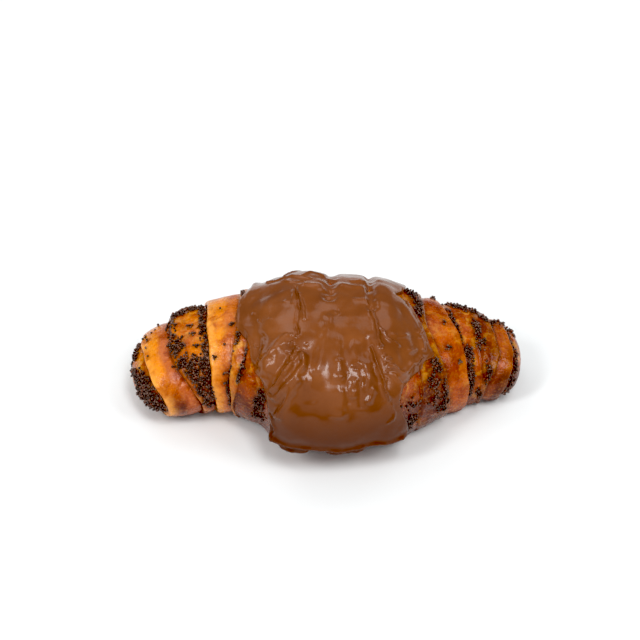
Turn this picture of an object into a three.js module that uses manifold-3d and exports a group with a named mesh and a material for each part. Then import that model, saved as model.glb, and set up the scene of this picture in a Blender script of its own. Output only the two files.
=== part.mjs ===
// A poppy seed bun: a strip of sweet yeast dough rolled up into a gentle
// crescent, its turns showing as overlapping bands, strewn with poppy seeds
// and dipped across the middle in milk chocolate.
//
// Millimetres, +Z up.  +X runs along the bun, -Y is the bulging front of the
// crescent.  The origin is the middle of its footprint, on the flat underside.
//
// A place on the crust is given by x, the distance along the bun, and by an
// angle round it: 0 is the crest, 90 degrees the front, 180 the underside.

import * as THREE from "three";
import { mergeVertices } from "three/addons/utils/BufferGeometryUtils.js";
import Module from "manifold-3d";

const { degToRad, clamp, lerp, smoothstep } = THREE.MathUtils;
const FULL_TURN = Math.PI * 2;
const wasm = await Module();
wasm.setup();

// ---------------------------------------------------------------- sizes, mm

const HALF_LENGTH = 83;
const END_BLUNTNESS = 8; // power of the curve that rounds off both ends
const END_LIFT = 0.35; // how far up the ends close, as a share of the height
const WIDEST_LEVEL = 0.46; // level of the widest line, as a share of the height
const UNDERSIDE_DEPTH = 1.22; // the belly before it settled flat on the tray

// The risen shape without its bands: x, half of the depth, height, and how far
// back the middle of the section lies, which gives the crescent its curve.
const SECTIONS = [
  [-83, 22.5, 34.5, 6.0],
  [-71, 23.6, 35.5, 7.4],
  [-58, 25.6, 37.6, 8.4],
  [-44, 28.2, 40.2, 8.6],
  [-32, 31.4, 43.5, 7.6],
  [-22, 37.6, 51.2, 2.6],
  [-10, 40.8, 55.0, 0.2],
  [8, 41.0, 55.0, 0.0],
  [24, 38.6, 52.8, 0.6],
  [36, 34.0, 47.6, 3.6],
  [48, 28.2, 40.6, 7.8],
  [60, 24.6, 36.0, 12.0],
  [72, 22.6, 34.0, 14.4],
  [83, 22.6, 34.0, 16.5],
];
const CENTRE_SHIFT = 0.24; // brings the middle of the footprint to y = 0

// Where one turn of the strip overlaps the next.  A seam crosses the crest at
// x = at; lean moves its front and back apart, bow moves its underside, and
// twist is the swing in between.  The lip is the step at the overlap, which
// belongs to the turn nearer the middle.
const SEAMS = [
  { at: -75.4, lean: 5.4, bow: 3.9, twist: -4.3, lip: 1.8 },
  { at: -64.5, lean: 9.0, bow: 5.2, twist: -3.7, lip: 1.0 },
  { at: -49.3, lean: 3.2, bow: 1.6, twist: -0.7, lip: 1.7 },
  { at: -37.4, lean: -2.0, bow: -0.5, twist: 0.4, lip: 0.9 },
  { at: -33.0, lean: -1.8, bow: -1.0, twist: 0.5, lip: 0.8 },
  { at: -13.0, lean: -2.5, bow: -2.0, twist: 0, lip: 0 },
  { at: 22.0, lean: 3.0, bow: 2.0, twist: 0, lip: 0 },
  { at: 33.0, lean: 4.5, bow: 2.0, twist: 0, lip: 0.9 },
  { at: 41.3, lean: 6.8, bow: 5.1, twist: -0.2, lip: 0.9 },
  { at: 52.2, lean: 5.0, bow: 1.9, twist: 1.2, lip: 1.8 },
  { at: 64.0, lean: 2.7, bow: 2.8, twist: -0.2, lip: 0.8 },
  { at: 68.9, lean: 0.5, bow: -0.3, twist: 1.9, lip: 1.0 },
  { at: 75.9, lean: 1.4, bow: -1.6, twist: 2.3, lip: 1.7 },
];
const MIDDLE_TURN = 6; // the outermost turn, whose both edges lie on top
const LIP_WIDTH = 1.2;
const CREASE_DEPTH = 0.9;
const TURN_FULLNESS = 2.6; // a higher power keeps a turn plump up to its crease

// The chocolate: its outline as x and degrees round the bun, clockwise as seen
// from above the front.  It runs over the crest and some way down the back.
const COATING_OUTLINE = [
  [-31.6, -30], [-36.0, -3], [-34.1, 8], [-31.5, 18], [-28.9, 27], [-28.7, 40],
  [-27.0, 52], [-24.4, 59], [-23.6, 66], [-24.4, 74], [-23.5, 84], [-20.8, 97],
  [-17.5, 108], [-9.9, 112], [-3.0, 109], [3.5, 115], [10.0, 113], [16.5, 105],
  [25.0, 107], [31.5, 100], [31.9, 88], [29.9, 75], [29.1, 67], [30.3, 60],
  [34.5, 55], [38.3, 49], [38.8, 41], [42.0, 37], [43.0, 28], [40.6, 21],
  [38.7, 10], [35.0, 2], [31.0, -12], [30.5, -22], [33.5, -32], [34.0, -48],
  [30.0, -66], [23.0, -84], [13.0, -93], [2.0, -88], [-9.0, -97], [-19.0, -90],
  [-27.5, -78], [-31.0, -58], [-30.0, -42],
];
const COATING_MIDDLE = [3, 10]; // x and degrees of the middle of the chocolate
const ARC_RADIUS = 42; // mm of crust for each radian round the bun
const COATING_THICKNESS = 1.9;
const THINNEST_COATING = 0.6;
const RIM_WIDTH = 3; // the rounded border inside the chocolate's outline
const COATING_GAP = 0.6; // kept free between chocolate and crust
const RELIEF_FADE = [3.5, 8]; // the bands level out between these distances from it

// Folds and ridges that show through the chocolate: a path as x and degrees,
// a height (a valley is below zero) and a width.
const COATING_FOLDS = [
  { path: [[-13, -70], [-13, -30], [-12.5, 0], [-12, 22]], height: -1.0, width: 2.4 },
  { path: [[-9.4, -30], [-9, 10]], height: 0.6, width: 2.2 },
  { path: [[-11, 26], [-15, 40], [-21, 60], [-24, 70]], height: -1.0, width: 2.6 },
  { path: [[-8, 30], [-11.5, 48], [-18, 70]], height: 1.0, width: 2.4 },
  { path: [[-20, 20], [-25, 45]], height: 1.0, width: 5.0 },
  { path: [[-13, 26], [-10.5, 34]], height: 1.0, width: 3.0 },
  { path: [[1, -10], [-3, 20], [-9, 48]], height: -0.9, width: 4.5 },
  { path: [[19, -25], [21, 10], [23, 35], [28, 62], [29, 75]], height: -0.9, width: 2.4 },
  { path: [[2.5, -80], [2, -24]], height: -1.5, width: 4.0 },
  { path: [[18, -80], [18, -24]], height: -1.3, width: 3.5 },
  { path: [[8, 40], [6, 85]], height: 0.9, width: 6.0 },
];

// Poppy seeds, and where the strip was strewn with them.  A path gives the
// turn and how far across it the seeds lie, and degrees round the bun.
const SEED_LENGTH = 1.25;
const SEED_WIDTH = 0.95;
const SEED_SUNK = 0.25;
const SEED_COUNT = 105;
const SEED_CLEAR_OF_COATING = 2.2;
const SEED_CLEAR_OF_FLOOR = 2.5;
const SEED_SPACING = 1.6;
const SEED_PATCHES = [
  { path: [[0.62, 48], [0.6, 75], [0.7, 105]], spread: 0.3, share: 14 },
  { path: [[0.5, -60], [0.6, -20], [0.6, 10]], spread: 0.3, share: 6 },
  { path: [[0.6, -140], [0.6, -60]], spread: 0.3, share: 5 },
  { path: [[2.08, -35], [2.05, 10], [2.1, 40]], spread: 0.08, share: 7 },
  { path: [[2.5, -38], [2.85, -20], [2.92, 15], [2.85, 45]], spread: 0.1, share: 8 },
  { path: [[2.15, 42], [2.5, 62], [2.65, 78], [2.7, 92]], spread: 0.25, share: 18 },
  { path: [[2.2, -150], [2.3, -90], [2.6, -45]], spread: 0.3, share: 7 },
  { path: [[4.3, 12], [4.95, 30], [4.95, 48], [4.65, 62]], spread: 0.12, share: 3 },
  { path: [[4.0, 40], [3.9, 65], [4.0, 90]], spread: 0.06, share: 2 },
  { path: [[5.4, 64], [5.3, 88], [5.3, 100]], spread: 0.12, share: 5 },
  { path: [[8.2, -45], [8.6, -27], [8.8, -8]], spread: 0.2, share: 4 },
  { path: [[8.85, 37], [8.95, 48], [8.6, 60], [8.85, 75], [8.5, 100]], spread: 0.12, share: 7 },
  { path: [[10.08, 20], [10.2, 42], [10.2, 65], [10.15, 90]], spread: 0.12, share: 8 },
  { path: [[10.95, -10], [10.95, 12], [11.1, 28]], spread: 0.08, share: 3 },
  { path: [[11.25, 48], [11.3, 68], [10.95, 76]], spread: 0.12, share: 3 },
  { path: [[10.5, -48], [10.9, -30], [11.6, -15], [12.1, -9]], spread: 0.2, share: 5 },
  { path: [[13.1, -25], [13.2, 45], [13.4, 75], [13.2, 125]], spread: 0.2, share: 12 },
  { path: [[13.3, -140], [13.3, -30]], spread: 0.3, share: 5 },
  { path: [[10.3, -150], [10.5, -90], [10.7, -50]], spread: 0.3, share: 5 },
];

// Fineness of the faceted surfaces.
const AROUND = 38;
const ACROSS_TURN = [0.25, 0.5, 0.78, 0.93]; // columns between lip and crease
const ACROSS_NARROW_TURN = [0.5, 0.85];
const ACROSS_MIDDLE_TURN = [0.04, 0.2, 0.35, 0.5, 0.65, 0.8, 0.96];
const NARROW_TURN = 6; // mm
const ACROSS_END = [0.22, 0.45, 0.65, 0.82, 0.95];
const COATING_SPOKE_GAP = 8.5; // mm along the outline
const COATING_OUTER_RINGS = 11;
const COATING_INNER_RINGS = 9;
const RING_CROWDING = 1.3; // above 1, the rings lie closer towards the rim

// --------------------------------------------------------- the risen shape

// A smooth curve through the sections, for one of their columns.
function alongSections(x, column) {
  const last = SECTIONS.length - 1;
  let i = 0;
  while (i < last - 1 && x > SECTIONS[i + 1][0]) i += 1;
  const slopeAt = (j) => {
    const [before, after] = [SECTIONS[Math.max(j - 1, 0)], SECTIONS[Math.min(j + 1, last)]];
    return (after[column] - before[column]) / (after[0] - before[0]);
  };
  const [from, to] = [SECTIONS[i], SECTIONS[i + 1]];
  const span = to[0] - from[0];
  const t = clamp((x - from[0]) / span, 0, 1);
  return (1 + 2 * t) * (1 - t) ** 2 * from[column] + t * (1 - t) ** 2 * span * slopeAt(i)
    + t * t * (3 - 2 * t) * to[column] + t * t * (t - 1) * span * slopeAt(i + 1);
}

function roundedSkin(x, angle) {
  const closing = Math.sqrt(Math.max(1 - Math.abs(x / HALF_LENGTH) ** END_BLUNTNESS, 0));
  const fullHeight = alongSections(x, 2);
  const height = fullHeight * closing;
  const halfDepth = alongSections(x, 1) * closing;
  const widest = height * WIDEST_LEVEL;
  const reach = Math.cos(angle) > 0 ? height - widest : widest * UNDERSIDE_DEPTH;
  return new THREE.Vector3(
    x,
    alongSections(x, 3) - halfDepth * Math.sin(angle) + CENTRE_SHIFT,
    widest + reach * Math.cos(angle) + (1 - closing) * END_LIFT * fullHeight,
  );
}

function skinNormal(x, angle) {
  const step = 0.02;
  const inside = clamp(x, -HALF_LENGTH + step * 2, HALF_LENGTH - step * 2);
  const along = roundedSkin(inside + step, angle).sub(roundedSkin(inside - step, angle));
  const round = roundedSkin(inside, angle + step).sub(roundedSkin(inside, angle - step));
  return round.cross(along).normalize();
}

// A point at a height above the risen shape, with the underside settled flat.
function onSkin(x, angle, height) {
  const atPole = Math.abs(x) >= HALF_LENGTH;
  const outward = atPole ? new THREE.Vector3(Math.sign(x), 0, 0) : skinNormal(x, angle);
  const point = roundedSkin(x, angle).addScaledVector(outward, height);
  point.z = Math.max(point.z, 0);
  return point;
}

// ------------------------------------------------------------ the chocolate

// The outline as a distance from the middle for every direction from it.
const outlineSpots = COATING_OUTLINE.map(([x, degrees]) => {
  const across = x - COATING_MIDDLE[0];
  const down = degToRad(degrees - COATING_MIDDLE[1]) * ARC_RADIUS;
  return { direction: Math.atan2(down, across), distance: Math.hypot(across, down) };
}).sort((a, b) => a.direction - b.direction);

function outlineDistance(direction) {
  const count = outlineSpots.length;
  const wrapped = direction - FULL_TURN * Math.round(direction / FULL_TURN);
  let next = outlineSpots.findIndex((spot) => spot.direction > wrapped);
  if (next < 0) next = 0;
  const from = outlineSpots[(next + count - 1) % count];
  const to = outlineSpots[next];
  const gap = (to.direction - from.direction + FULL_TURN) % FULL_TURN;
  const t = ((wrapped - from.direction + FULL_TURN) % FULL_TURN) / gap;
  return lerp(from.distance, to.distance, t);
}

// Millimetres from the chocolate's outline, below zero under the chocolate.
function beyondCoating(x, angle) {
  const across = x - COATING_MIDDLE[0];
  const round = angle - degToRad(COATING_MIDDLE[1]);
  const down = (round - FULL_TURN * Math.round(round / FULL_TURN)) * ARC_RADIUS;
  return Math.hypot(across, down) - outlineDistance(Math.atan2(down, across));
}

// Distance from a place on the crust to a path drawn on it.
function distanceToPath(x, angle, path) {
  const place = new THREE.Vector2(x, angle * ARC_RADIUS);
  const corners = path.map(([px, degrees]) => new THREE.Vector2(px, degToRad(degrees) * ARC_RADIUS));
  let nearest = Infinity;
  for (let i = 0; i + 1 < corners.length; i += 1) {
    const stretch = corners[i + 1].clone().sub(corners[i]);
    const offset = place.clone().sub(corners[i]);
    const t = clamp(offset.dot(stretch) / stretch.lengthSq(), 0, 1);
    nearest = Math.min(nearest, offset.addScaledVector(stretch, -t).length());
  }
  return nearest;
}

function coatingThickness(x, angle) {
  let thickness = COATING_THICKNESS;
  for (const { path, height, width } of COATING_FOLDS) {
    const away = distanceToPath(x, angle, path) / width;
    thickness += height * Math.exp(-away * away * 2);
  }
  return Math.max(thickness, THINNEST_COATING);
}

// ----------------------------------------------------------------- the dough

function seamAt(index, angle) {
  if (index === 0) return -HALF_LENGTH;
  if (index > SEAMS.length) return HALF_LENGTH;
  const { at, lean, bow, twist } = SEAMS[index - 1];
  return at + lean * Math.sin(angle) + bow * (1 - Math.cos(angle)) / 2 + twist * Math.sin(2 * angle);
}

// How far a turn of the strip stands above the risen shape, from its left
// edge (across = 0) to its right edge (across = 1).  The two end turns have no
// lip of their own, and the middle turn has one on both sides.
function turnHeight(turn, across, width) {
  const isMiddle = turn === MIDDLE_TURN;
  const isEnd = turn === 0 || turn === SEAMS.length;
  const leftSide = turn < MIDDLE_TURN;
  const fromMiddleEdge = Math.min(across, 1 - across);
  const fromLip = leftSide ? across : 1 - across;
  const lip = isEnd ? 0 : SEAMS[leftSide ? turn - 1 : turn].lip;
  const rise = isEnd ? 1 : smoothstep((isMiddle ? fromMiddleEdge : fromLip) * width, 0, LIP_WIDTH);
  const fall = isMiddle ? 1 : 1 - fromLip ** TURN_FULLNESS;
  return (CREASE_DEPTH + lip) * rise * fall - CREASE_DEPTH;
}

function crustPoint(turn, across, angle) {
  const [left, right] = [seamAt(turn, angle), seamAt(turn + 1, angle)];
  const x = lerp(left, right, across);
  const shown = smoothstep(beyondCoating(x, angle), ...RELIEF_FADE);
  return { x, point: onSkin(x, angle, turnHeight(turn, across, right - left) * shown) };
}

// The places, turn by turn, of the columns that the crust is faceted along.
function crustColumns() {
  const columns = [];
  const lastTurn = SEAMS.length;
  for (let turn = 0; turn <= lastTurn; turn += 1) {
    const width = seamAt(turn + 1, 0) - seamAt(turn, 0);
    let places = [LIP_WIDTH / width, ...(width < NARROW_TURN ? ACROSS_NARROW_TURN : ACROSS_TURN)];
    if (turn === MIDDLE_TURN) places = ACROSS_MIDDLE_TURN;
    if (turn === 0 || turn === lastTurn) places = ACROSS_END.map((place) => place * place);
    if (turn > MIDDLE_TURN) places = places.map((place) => 1 - place).reverse();
    columns.push({ turn, across: 0 });
    places.forEach((across) => columns.push({ turn, across }));
  }
  columns.push({ turn: lastTurn, across: 1 });
  return columns;
}

// ------------------------------------------------------------------- meshes

// A closed skin of rings of points, drawn together to one point at each end.
function closedRings(ringCount, ringSize, pointAt) {
  const last = ringCount - 1;
  const lastVertex = 1 + (last - 1) * ringSize;
  const vertex = (ring, spoke) => 1 + (ring - 1) * ringSize + (spoke % ringSize);
  const points = [pointAt(0, 0)];
  const faces = [];
  for (let ring = 1; ring < last; ring += 1) {
    for (let spoke = 0; spoke < ringSize; spoke += 1) points.push(pointAt(ring, spoke));
  }
  points.push(pointAt(last, 0));
  for (let spoke = 0; spoke < ringSize; spoke += 1) {
    faces.push(0, vertex(1, spoke), vertex(1, spoke + 1));
    for (let ring = 1; ring < last - 1; ring += 1) {
      const [near, nearNext] = [vertex(ring, spoke), vertex(ring, spoke + 1)];
      const [far, farNext] = [vertex(ring + 1, spoke), vertex(ring + 1, spoke + 1)];
      faces.push(near, far, farNext, near, farNext, nearNext);
    }
    faces.push(vertex(last - 1, spoke + 1), vertex(last - 1, spoke), lastVertex);
  }
  const geometry = new THREE.BufferGeometry().setFromPoints(points);
  geometry.setIndex(faces);
  return geometry;
}

function toSolid(geometry) {
  return new wasm.Manifold(new wasm.Mesh({
    numProp: 3,
    vertProperties: Float32Array.from(geometry.attributes.position.array),
    triVerts: Uint32Array.from(geometry.index.array),
  }));
}

function toGeometry(solid) {
  const mesh = solid.getMesh();
  const geometry = new THREE.BufferGeometry();
  geometry.setAttribute("position", new THREE.BufferAttribute(mesh.vertProperties, 3));
  geometry.setIndex(new THREE.BufferAttribute(mesh.triVerts, 1));
  return geometry;
}

function doughGeometry() {
  const columns = crustColumns();
  return closedRings(columns.length, AROUND, (ring, spoke) => {
    const { turn, across } = columns[ring];
    return crustPoint(turn, across, -(spoke / AROUND) * FULL_TURN).point;
  });
}

// Rings from the middle of the outside, over the rounded rim, to the middle of
// the inside.  Each is an inset from the outline in mm, or a share of the way
// out, with how much of the thickness it stands up.
function coatingRings() {
  const rim = [
    { inset: 2.4, rise: 1 }, { inset: 1.0, rise: 0.93 }, { inset: 0.25, rise: 0.65 },
    { inset: 0, rise: 0.35 }, { inset: 0.3, rise: 0 },
  ];
  const outside = Array.from({ length: COATING_OUTER_RINGS }, (_, i) => (
    { share: 1 - (1 - i / COATING_OUTER_RINGS) ** RING_CROWDING, rise: 1 }));
  const inside = Array.from({ length: COATING_INNER_RINGS }, (_, i) => (
    { share: 1 - ((i + 1) / COATING_INNER_RINGS) ** RING_CROWDING, rise: 0 }));
  return [...outside, ...rim, ...inside];
}

// A spoke to every corner of the outline, and more along its long stretches.
function coatingSpokes() {
  return outlineSpots.flatMap((spot, i) => {
    const wraps = i + 1 === outlineSpots.length;
    const next = outlineSpots[wraps ? 0 : i + 1];
    const turned = next.direction - spot.direction + (wraps ? FULL_TURN : 0);
    const stretch = Math.sqrt(spot.distance ** 2 + next.distance ** 2
      - 2 * spot.distance * next.distance * Math.cos(turned));
    const pieces = Math.ceil(stretch / COATING_SPOKE_GAP);
    return Array.from({ length: pieces }, (_, piece) => spot.direction + (turned * piece) / pieces);
  }).reverse();
}

function coatingGeometry() {
  const rings = coatingRings();
  const spokes = coatingSpokes();
  return closedRings(rings.length, spokes.length, (ring, spoke) => {
    const { share, inset, rise } = rings[ring];
    const direction = spokes[spoke];
    const reach = outlineDistance(direction);
    const distance = inset === undefined ? (reach - RIM_WIDTH) * share : reach - inset;
    const x = COATING_MIDDLE[0] + distance * Math.cos(direction);
    const angle = degToRad(COATING_MIDDLE[1]) + (distance * Math.sin(direction)) / ARC_RADIUS;
    return onSkin(x, angle, COATING_GAP + coatingThickness(x, angle) * rise);
  });
}

// -------------------------------------------------------------------- seeds

function seededRandom(seed) {
  let state = seed;
  return () => {
    state = (state + 0x6d2b79f5) | 0;
    let mixed = Math.imul(state ^ (state >>> 15), 1 | state);
    mixed = (mixed + Math.imul(mixed ^ (mixed >>> 7), 61 | mixed)) ^ mixed;
    return ((mixed ^ (mixed >>> 14)) >>> 0) / 4294967296;
  };
}

// The facet of the dough below a place on the crust, and the way it faces.
function facetUnder(doughMesh, point, outward) {
  const above = 6;
  const ray = new THREE.Raycaster(point.clone().addScaledVector(outward, above), outward.clone().negate());
  const [hit] = ray.intersectObject(doughMesh);
  return hit && { point: hit.point, outward: hit.face.normal.clone() };
}

function seedSpots(doughMesh) {
  const random = seededRandom(20);
  const spots = [];
  const shares = SEED_PATCHES.reduce((sum, patch) => sum + patch.share, 0);
  for (const { path, spread, share } of SEED_PATCHES) {
    const wanted = Math.round((SEED_COUNT * share) / shares);
    for (let placed = 0, tries = 0; placed < wanted && tries < wanted * 20; tries += 1) {
      const along = random() * (path.length - 1);
      const stretch = Math.floor(along);
      const place = lerp(path[stretch][0], path[stretch + 1][0], along - stretch)
        + (random() * 2 - 1) * spread;
      const degrees = lerp(path[stretch][1], path[stretch + 1][1], along - stretch)
        + (random() * 2 - 1) * 4;
      const turn = clamp(Math.floor(place), 0, SEAMS.length);
      const { x, point } = crustPoint(turn, place - turn, degToRad(degrees));
      const facet = facetUnder(doughMesh, point, skinNormal(x, degToRad(degrees)));
      const spin = random() * Math.PI;
      const clear = facet
        && beyondCoating(x, degToRad(degrees)) > SEED_CLEAR_OF_COATING
        && facet.point.z > SEED_CLEAR_OF_FLOOR
        && Math.abs(facet.point.x) < HALF_LENGTH - SEED_WIDTH
        && spots.every((spot) => spot.point.distanceTo(facet.point) > SEED_SPACING);
      if (clear) {
        spots.push({ ...facet, spin });
        placed += 1;
      }
    }
  }
  return spots;
}

function seedGeometry({ point, outward, spin }) {
  const seed = new THREE.IcosahedronGeometry(1, 0);
  seed.deleteAttribute("normal");
  seed.deleteAttribute("uv");
  const upright = new THREE.Quaternion().setFromUnitVectors(new THREE.Vector3(0, 0, 1), outward);
  seed.scale(SEED_LENGTH / 2, SEED_WIDTH / 2, SEED_WIDTH / 2);
  seed.rotateZ(spin);
  seed.applyQuaternion(upright);
  const centre = point.clone().addScaledVector(outward, SEED_WIDTH / 2 - SEED_SUNK);
  seed.translate(centre.x, centre.y, centre.z);
  return mergeVertices(seed, 1e-5);
}

// ---------------------------------------------------------------- the scene

function addPiece(group, name, geometry, look) {
  geometry.computeVertexNormals();
  const mesh = new THREE.Mesh(geometry, new THREE.MeshStandardMaterial(look));
  mesh.name = name;
  group.add(mesh);
}

function makeBun() {
  const bun = new THREE.Group();
  const bareDough = doughGeometry();
  let dough = toSolid(bareDough);
  for (const spot of seedSpots(new THREE.Mesh(bareDough))) {
    dough = dough.add(toSolid(seedGeometry(spot)));
  }
  addPiece(bun, "dough", toGeometry(dough), { color: 0xd98a2b, roughness: 0.42, metalness: 0 });
  addPiece(bun, "chocolate_coating", coatingGeometry(), { color: 0x80451f, roughness: 0.28, metalness: 0 });
  return bun;
}

export default makeBun();
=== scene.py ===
# %% [markdown]
# # A poppy seed bun dipped in milk chocolate
#
# A strip of sweet yeast dough, strewn with poppy seeds, is rolled up into a
# gentle crescent, washed with egg and baked.  Its turns show as overlapping
# bands: smooth, glossy ones where the outside of the strip lies on top, and
# seedy ones where the strewn side shows.  The middle is then dipped in milk
# chocolate, which sets over the folds.
#
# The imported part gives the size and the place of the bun.  This script keeps it as
# the frame and dresses it with three pieces: the baked dough, the loose poppy
# seeds and the chocolate.  Their shapes start from the part's own numbers, which are
# changed by up to about 6 mm to follow the photograph more closely.

import itertools
import math

import bmesh
import bpy
import numpy as np
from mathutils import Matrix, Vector
from mathutils.kdtree import KDTree


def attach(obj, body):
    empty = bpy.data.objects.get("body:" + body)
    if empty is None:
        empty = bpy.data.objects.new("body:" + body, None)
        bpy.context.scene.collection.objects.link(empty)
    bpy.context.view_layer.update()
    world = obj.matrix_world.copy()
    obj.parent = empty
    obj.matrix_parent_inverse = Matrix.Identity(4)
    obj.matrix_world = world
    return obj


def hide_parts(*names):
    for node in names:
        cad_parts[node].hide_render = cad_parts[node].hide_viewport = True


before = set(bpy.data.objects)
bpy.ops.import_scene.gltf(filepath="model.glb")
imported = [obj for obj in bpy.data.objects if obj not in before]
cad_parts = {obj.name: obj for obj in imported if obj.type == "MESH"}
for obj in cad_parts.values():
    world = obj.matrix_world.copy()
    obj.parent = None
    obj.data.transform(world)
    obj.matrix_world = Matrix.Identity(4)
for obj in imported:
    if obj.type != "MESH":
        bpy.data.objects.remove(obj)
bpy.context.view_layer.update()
MM = 0.001

# %% [markdown]
# ## The camera
#
# The photograph looks down on the bun from the front at about 42 degrees, with
# a long lens: both ends are the same size and nothing bulges.  A 105 mm lens at
# 0.8 m gives that perspective.  The camera is aimed at a point behind the
# middle, as the bun lies a little below the centre of the photograph.

# %% Camera
CAMERA_ELEVATION = math.radians(42)
CAMERA_DISTANCE = 0.8
CAMERA_AIM = Vector((-2.6, 25.7, 25.0)) * MM
CAMERA_LENS = 105.5
SENSOR_WIDTH = 36.0


def new_object(name, data):
    """An object with the given mesh, lamp or camera, placed in the scene."""
    made = bpy.data.objects.new(name, data)
    bpy.context.scene.collection.objects.link(made)
    return made


def add_camera():
    data = bpy.data.cameras.new("camera")
    data.lens = CAMERA_LENS
    data.sensor_width = SENSOR_WIDTH
    camera = new_object("camera", data)
    towards_camera = Vector((0, -math.cos(CAMERA_ELEVATION), math.sin(CAMERA_ELEVATION)))
    camera.location = CAMERA_AIM + towards_camera * CAMERA_DISTANCE
    camera.rotation_euler = (math.pi / 2 - CAMERA_ELEVATION, 0, 0)
    bpy.context.scene.camera = camera
    return camera


camera = add_camera()
print("camera at", [round(v, 3) for v in camera.location], "m")

# %% [markdown]
# ## The risen shape
#
# Rolled dough rises into a fat spindle that sags onto the tray.  It could be
# modelled by hand or from metaballs, but a spindle is best given by a few
# sections along its length: how deep and how high it is there, and how far back
# its middle lies, which bends it into a crescent.  A smooth curve through the
# sections fills in the rest.
#
# A place on the crust is given by x along the bun and an angle round it: 0 is
# the crest, 90 degrees the front, 180 the underside.  Lengths here are in mm.

# %% The risen shape
LEFT_TIP, RIGHT_TIP = -82.2, 83.0
END_BLUNTNESS = 8
LEFT_LIFT, RIGHT_LIFT = 0.43, 0.35  # how far up the tips lie, as a share of the height there
WIDEST_LEVEL = 0.46
CENTRE_SHIFT = 0.24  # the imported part's own shift, which centres its footprint
FLOOR_SOFTNESS = 0.5  # rounds the crust where it meets the tray
SLOPE_STEP = 0.02  # mm along the bun and radians round it, for measuring how the skin slopes
AT_TIP = 1e-6  # mm, closer than this to a tip is the tip itself

# x, half of the depth, height, how far back the middle lies, and how far the part
# below the widest level reaches, as a multiple of that level's height: where it is
# above 1, the tray flattens it
SECTIONS = np.array([
    (-83, 23.6, 28.5, 9.6, 1.40),
    (-71, 25.7, 32.1, 6.3, 1.15),
    (-58, 25.6, 36.0, 9.5, 1.22),
    (-44, 25.3, 40.6, 10.2, 1.14),
    (-32, 30.8, 45.5, 8.5, 1.2),
    (-27, 31.5, 48.0, 6.2, 1.22),
    (-22, 36.8, 51.3, 1.5, 1.26),
    (-10, 41.3, 55.6, -1.0, 1.18),
    (8, 41.4, 54.0, -1.0, 1.07),
    (24, 37.8, 52.9, -0.3, 1.24),
    (30, 36.4, 49.0, 2.0, 1.34),
    (36, 32.6, 44.2, 5.7, 1.36),
    (48, 27.2, 37.1, 9.9, 1.22),
    (60, 23.5, 33.2, 14.3, 1.33),
    (72, 21.2, 30.2, 14.3, 1.34),
    (83, 26.0, 32.5, 14.3, 1.45),
])
HALF_DEPTH, HEIGHT, CENTRE_Y, UNDERSIDE = 1, 2, 3, 4


def along_sections(x, column):
    """A smooth curve through one column of the sections."""
    at, value = SECTIONS[:, 0], SECTIONS[:, column]
    slope = np.empty_like(value)
    slope[1:-1] = (value[2:] - value[:-2]) / (at[2:] - at[:-2])
    slope[0] = (value[1] - value[0]) / (at[1] - at[0])
    slope[-1] = (value[-1] - value[-2]) / (at[-1] - at[-2])
    i = np.clip(np.searchsorted(at, x) - 1, 0, len(at) - 2)
    span = at[i + 1] - at[i]
    t = np.clip((x - at[i]) / span, 0, 1)
    return ((1 + 2 * t) * (1 - t) ** 2 * value[i] + t * (1 - t) ** 2 * span * slope[i]
            + t * t * (3 - 2 * t) * value[i + 1] + t * t * (t - 1) * span * slope[i + 1])


def rounded_skin(x, angle):
    """Points on the risen shape, before the tray flattens it."""
    to_tip = x / np.where(x < 0, LEFT_TIP, RIGHT_TIP)
    closing = np.sqrt(np.maximum(1 - to_tip ** END_BLUNTNESS, 0))
    full_height = along_sections(x, HEIGHT)
    height = full_height * closing
    widest = height * WIDEST_LEVEL
    reach = np.where(np.cos(angle) > 0, height - widest, widest * along_sections(x, UNDERSIDE))
    y = along_sections(x, CENTRE_Y) - along_sections(x, HALF_DEPTH) * closing * np.sin(angle)
    lift = np.where(x < 0, LEFT_LIFT, RIGHT_LIFT)
    z = widest + reach * np.cos(angle) + (1 - closing) * lift * full_height
    return np.stack([x + 0 * angle, y + CENTRE_SHIFT, z], axis=-1)


def skin_normal(x, angle):
    """The direction straight out of the risen shape."""
    inside = np.clip(x, LEFT_TIP + 2 * SLOPE_STEP, RIGHT_TIP - 2 * SLOPE_STEP)
    along = rounded_skin(inside + SLOPE_STEP, angle) - rounded_skin(inside - SLOPE_STEP, angle)
    turned = rounded_skin(inside, angle + SLOPE_STEP) - rounded_skin(inside, angle - SLOPE_STEP)
    normal = np.cross(turned, along)
    normal /= np.linalg.norm(normal, axis=-1, keepdims=True)
    at_tip = (x <= LEFT_TIP + AT_TIP) | (x >= RIGHT_TIP - AT_TIP)
    normal[at_tip] = np.stack([np.sign(x), 0 * x, 0 * x], axis=-1)[at_tip]
    return normal


def on_skin(x, angle, height):
    """Points at a height above the risen shape, settled on the tray."""
    points = rounded_skin(x, angle) + skin_normal(x, angle) * height[:, None]
    z = points[:, 2]
    points[:, 2] = (z + np.sqrt(z * z + FLOOR_SOFTNESS ** 2)) / 2
    return points


middle = rounded_skin(np.array([0.0, 0.0]), np.array([0.0, math.pi / 2]))
print("crest at", round(middle[0, 2], 1), "mm, front at", round(middle[1, 1], 1), "mm")

# %% [markdown]
# ## The turns of the strip
#
# Each turn of the strip overlaps the next one towards the tip.  The overlap is
# a ring round the bun that leans and bows with the roll, so a ring is given by
# where it crosses the crest and by three swings.  Across a turn the crust rises
# steeply at its lip, stays plump and then slopes down under the next turn.
#
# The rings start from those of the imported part, with each number changed by up to
# 3.5 mm to follow the photograph; a slow wobble is added, as no overlap is an even ring.

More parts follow.
